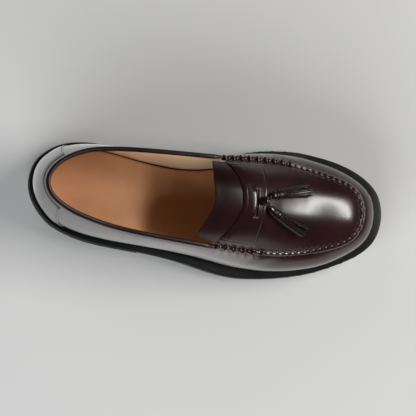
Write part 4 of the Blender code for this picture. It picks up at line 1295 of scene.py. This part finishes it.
def tasselAxis(lie):
    # gives the point, side and normal anywhere along the curve a tassel follows over the vamp
    leaves, centre = math.radians(lie["leaves"]), knotCentre[:2]
    start = knotSizes["width"] / 2 + 2 * shoe["gap"]
    root = centre + start * np.array([math.cos(leaves), math.sin(leaves)])
    bend, tip = (centre + tasselSizes["length"] * np.array(lie[place]) for place in ("bend", "end"))
    lift = tasselSizes["width"] / 2 * tasselSizes["flatness"] * 1.02 + 2 * shoe["gap"]

    def point(s):
        s = s[..., None]
        plan = root * (1 - s) ** 2 + bend * 2 * s * (1 - s) + tip * s ** 2
        turn, across = vampPlace(plan[..., 0], plan[..., 1])
        normal = vampNormal(turn, across)
        return vampPoint(turn, across) + normal * lift, normal

    def frameAt(along):
        middle, normal = point(along)
        ahead = point(along + 0.02)[0] - point(along - 0.02)[0]
        return middle, unit(np.cross(normal, ahead)), normal

    return frameAt


def tasselPieces(name, lie):
    sizes = tasselSizes
    frameAt = tasselAxis(lie)
    half, flat = sizes["width"] / 2, sizes["flatness"]
    along = np.concatenate([[0, .004, .012], np.linspace(.024, sizes["capEnd"], 64)])
    width = easeCurve(tasselShape["along"], tasselShape["width"], along)
    width[:3] = sizes["tipWidths"]
    centre, side, normal = frameAt(along)
    angles = ringAngles(36)
    ripple = 1 + sizes["pleats"] * np.cos(angles * 12)[None, :] * smoothStep((along - .05) / .1)[:, None]
    reach = (half * width)[:, None] * ripple
    rings = centre[:, None] + side[:, None] * (reach * np.cos(angles))[..., None] \
        + normal[:, None] * (reach * flat * np.sin(angles))[..., None]
    cap = tube(rings, name + "Cap", tasselLeather)

    chance = np.random.default_rng(sizes["seed"] + len(name))
    spreadStart, spreadGrowth = sizes["spread"]
    paths = []
    for layer, count, inner in ((0, sizes["strips"], 1.0), (1, sizes["strips"] // 2, 0.5)):
        for i in range(count):
            angle = 2 * np.pi * (i + 0.5 * layer) / count + chance.uniform(-.08, .08)
            end = sizes["stripEnd"] + chance.uniform(-1, 0.6) * sizes["unevenEnds"]
            s = np.linspace(sizes["capEnd"] - .05, end, 16)
            grown = (s - s[0]) / (end - s[0])
            turned = angle + chance.uniform(-1, 1) * sizes["splay"] * grown ** 1.5
            spread = spreadStart + spreadGrowth * grown ** 0.8 + chance.uniform(-.05, .06) * grown
            centre, side, normal = frameAt(s)
            out = half * inner * spread
            up, over = np.sin(turned)[:, None], np.cos(turned)[:, None]
            points = centre + side * out[:, None] * over + normal * (out * flat)[:, None] * up
            paths.append((points, unit(side * over * flat + normal * up)))
    fringe = grow(name + "Fringe", strips, paths, tasselLeather,
                  {"Width": sizes["stripWidth"], "Thickness": sizes["stripThickness"]})
    return cap, fringe


def thongRings(lie):
    # a short thong from the knot into the tassel's cap
    sizes = thongSizes
    end = tasselAxis(lie)(np.array([sizes["into"]]))[0][0]
    s = np.linspace(0, 1, sizes["rows"])[:, None]
    line = (knotCentre + np.array(sizes["start"])) * (1 - s) + end * s
    line[:, 2:] += sizes["arch"] * np.sin(np.pi * s)
    ahead = unit(np.gradient(line, axis=0))
    side = unit(np.cross(ahead, [0, 0, 1]))
    radius = sizes["thickness"] / 2
    return ringsRound(line, side * radius * sizes["flatness"], np.cross(side, ahead) * radius, sizes["rows"])


dress(knotPiece(), "tassel_leather", "tassel_knot")
for tasselName, tasselPlace in tasselLie.items():
    capPiece, fringePiece = tasselPieces(tasselName, tasselPlace)
    dress(capPiece, "tassel_leather", tasselPlace["node"])
    dress(fringePiece, "tassel_leather")
for number, tasselPlace in enumerate(tasselLie.values()):
    dress(tube(thongRings(tasselPlace), f"thong{number + 1}", tasselLeather), "tassel_leather")
print("knot and tassels made")


# Floor, light and camera

floorSetup = {"halfSize": 4.0, "toneScale": 3.0, "roughness": 0.9,
              "colours": [(.475, .475, .475), (.495, .495, .492)]}


def addFloor():
    material, tree, shader, place = startMaterial("paleFloor")
    tone = noise(tree, place, floorSetup["toneScale"], 2.0)
    tree.links.new(twoTones(tree, tone, floorSetup["colours"]), shader.inputs["Base Color"])
    shader.inputs["Roughness"].default_value = floorSetup["roughness"]
    size = floorSetup["halfSize"]
    mesh = bpy.data.meshes.new("floor")
    mesh.from_pydata([(-size, -size, 0), (size, -size, 0), (size, size, 0), (-size, size, 0)], [],
                     [(0, 1, 2, 3)])
    mesh.materials.append(material)
    addObject("floor", mesh)


addFloor()

# Only the key shows in the leather's gloss; the room is dim, so polished leather stays dark from above
lightAim = (0.12, 0.0, 0.04)
lightSetup = {
    "key": {"at": (1.15, 0.28, 1.15), "size": (1.05, 0.22), "power": 25, "colour": (1, .985, .965),
            "mirrored": True},
    "fill": {"at": (-0.55, -1.32, 0.75), "size": (2.2, 1.2), "power": 42, "colour": (.97, .985, 1),
             "mirrored": False},
    "back": {"at": (-0.8, 1.3, 0.9), "size": (1.6, 1.0), "power": 7, "colour": (1, 1, 1),
             "mirrored": False},
}
worldSetup = {"Color": (.97, .985, 1, 1), "Strength": 0.015}
cameraSetup = {"at": (-0.070, -0.0769, 1.750), "aim": (0.108, -0.0052, 0.040), "roll": 4.89,
               "width": 0.346, "sensor": 36, "farthest": 20}


def addLight(name, settings):
    lamp = bpy.data.lights.new(name, "AREA")
    lamp.shape = "RECTANGLE"
    lamp.size, lamp.size_y = settings["size"]
    lamp.energy, lamp.color = settings["power"], settings["colour"]
    light = addObject(name, lamp)
    light.location = settings["at"]
    light.rotation_euler = (Vector(lightAim) - light.location).to_track_quat("-Z", "Y").to_euler()
    light.visible_glossy = settings["mirrored"]


def addWorld():
    world = bpy.data.worlds.new("room")
    world.use_nodes = True
    for socket, value in worldSetup.items():
        world.node_tree.nodes["Background"].inputs[socket].default_value = value
    bpy.context.scene.world = world


def addCamera():
    lens = bpy.data.cameras.new("camera")
    camera = addObject("camera", lens)
    at, aim = Vector(cameraSetup["at"]), Vector(cameraSetup["aim"])
    ahead = (aim - at).normalized()
    roll = math.radians(cameraSetup["roll"])
    right = ahead.cross(Vector((-math.sin(roll), math.cos(roll), 0))).normalized()
    matrix = Matrix((right, right.cross(ahead), -ahead)).transposed().to_4x4()
    matrix.translation = at
    camera.matrix_world = matrix
    lens.sensor_width = cameraSetup["sensor"]
    lens.lens = cameraSetup["sensor"] * (aim - at).length / cameraSetup["width"]
    lens.clip_end = cameraSetup["farthest"]
    bpy.context.scene.camera = camera


for lightName, lightSettings in lightSetup.items():
    addLight(lightName, lightSettings)
addWorld()
addCamera()
bpy.context.scene.view_settings.view_transform = "Standard"
bpy.context.view_layer.update()

print("stage, light and camera made")
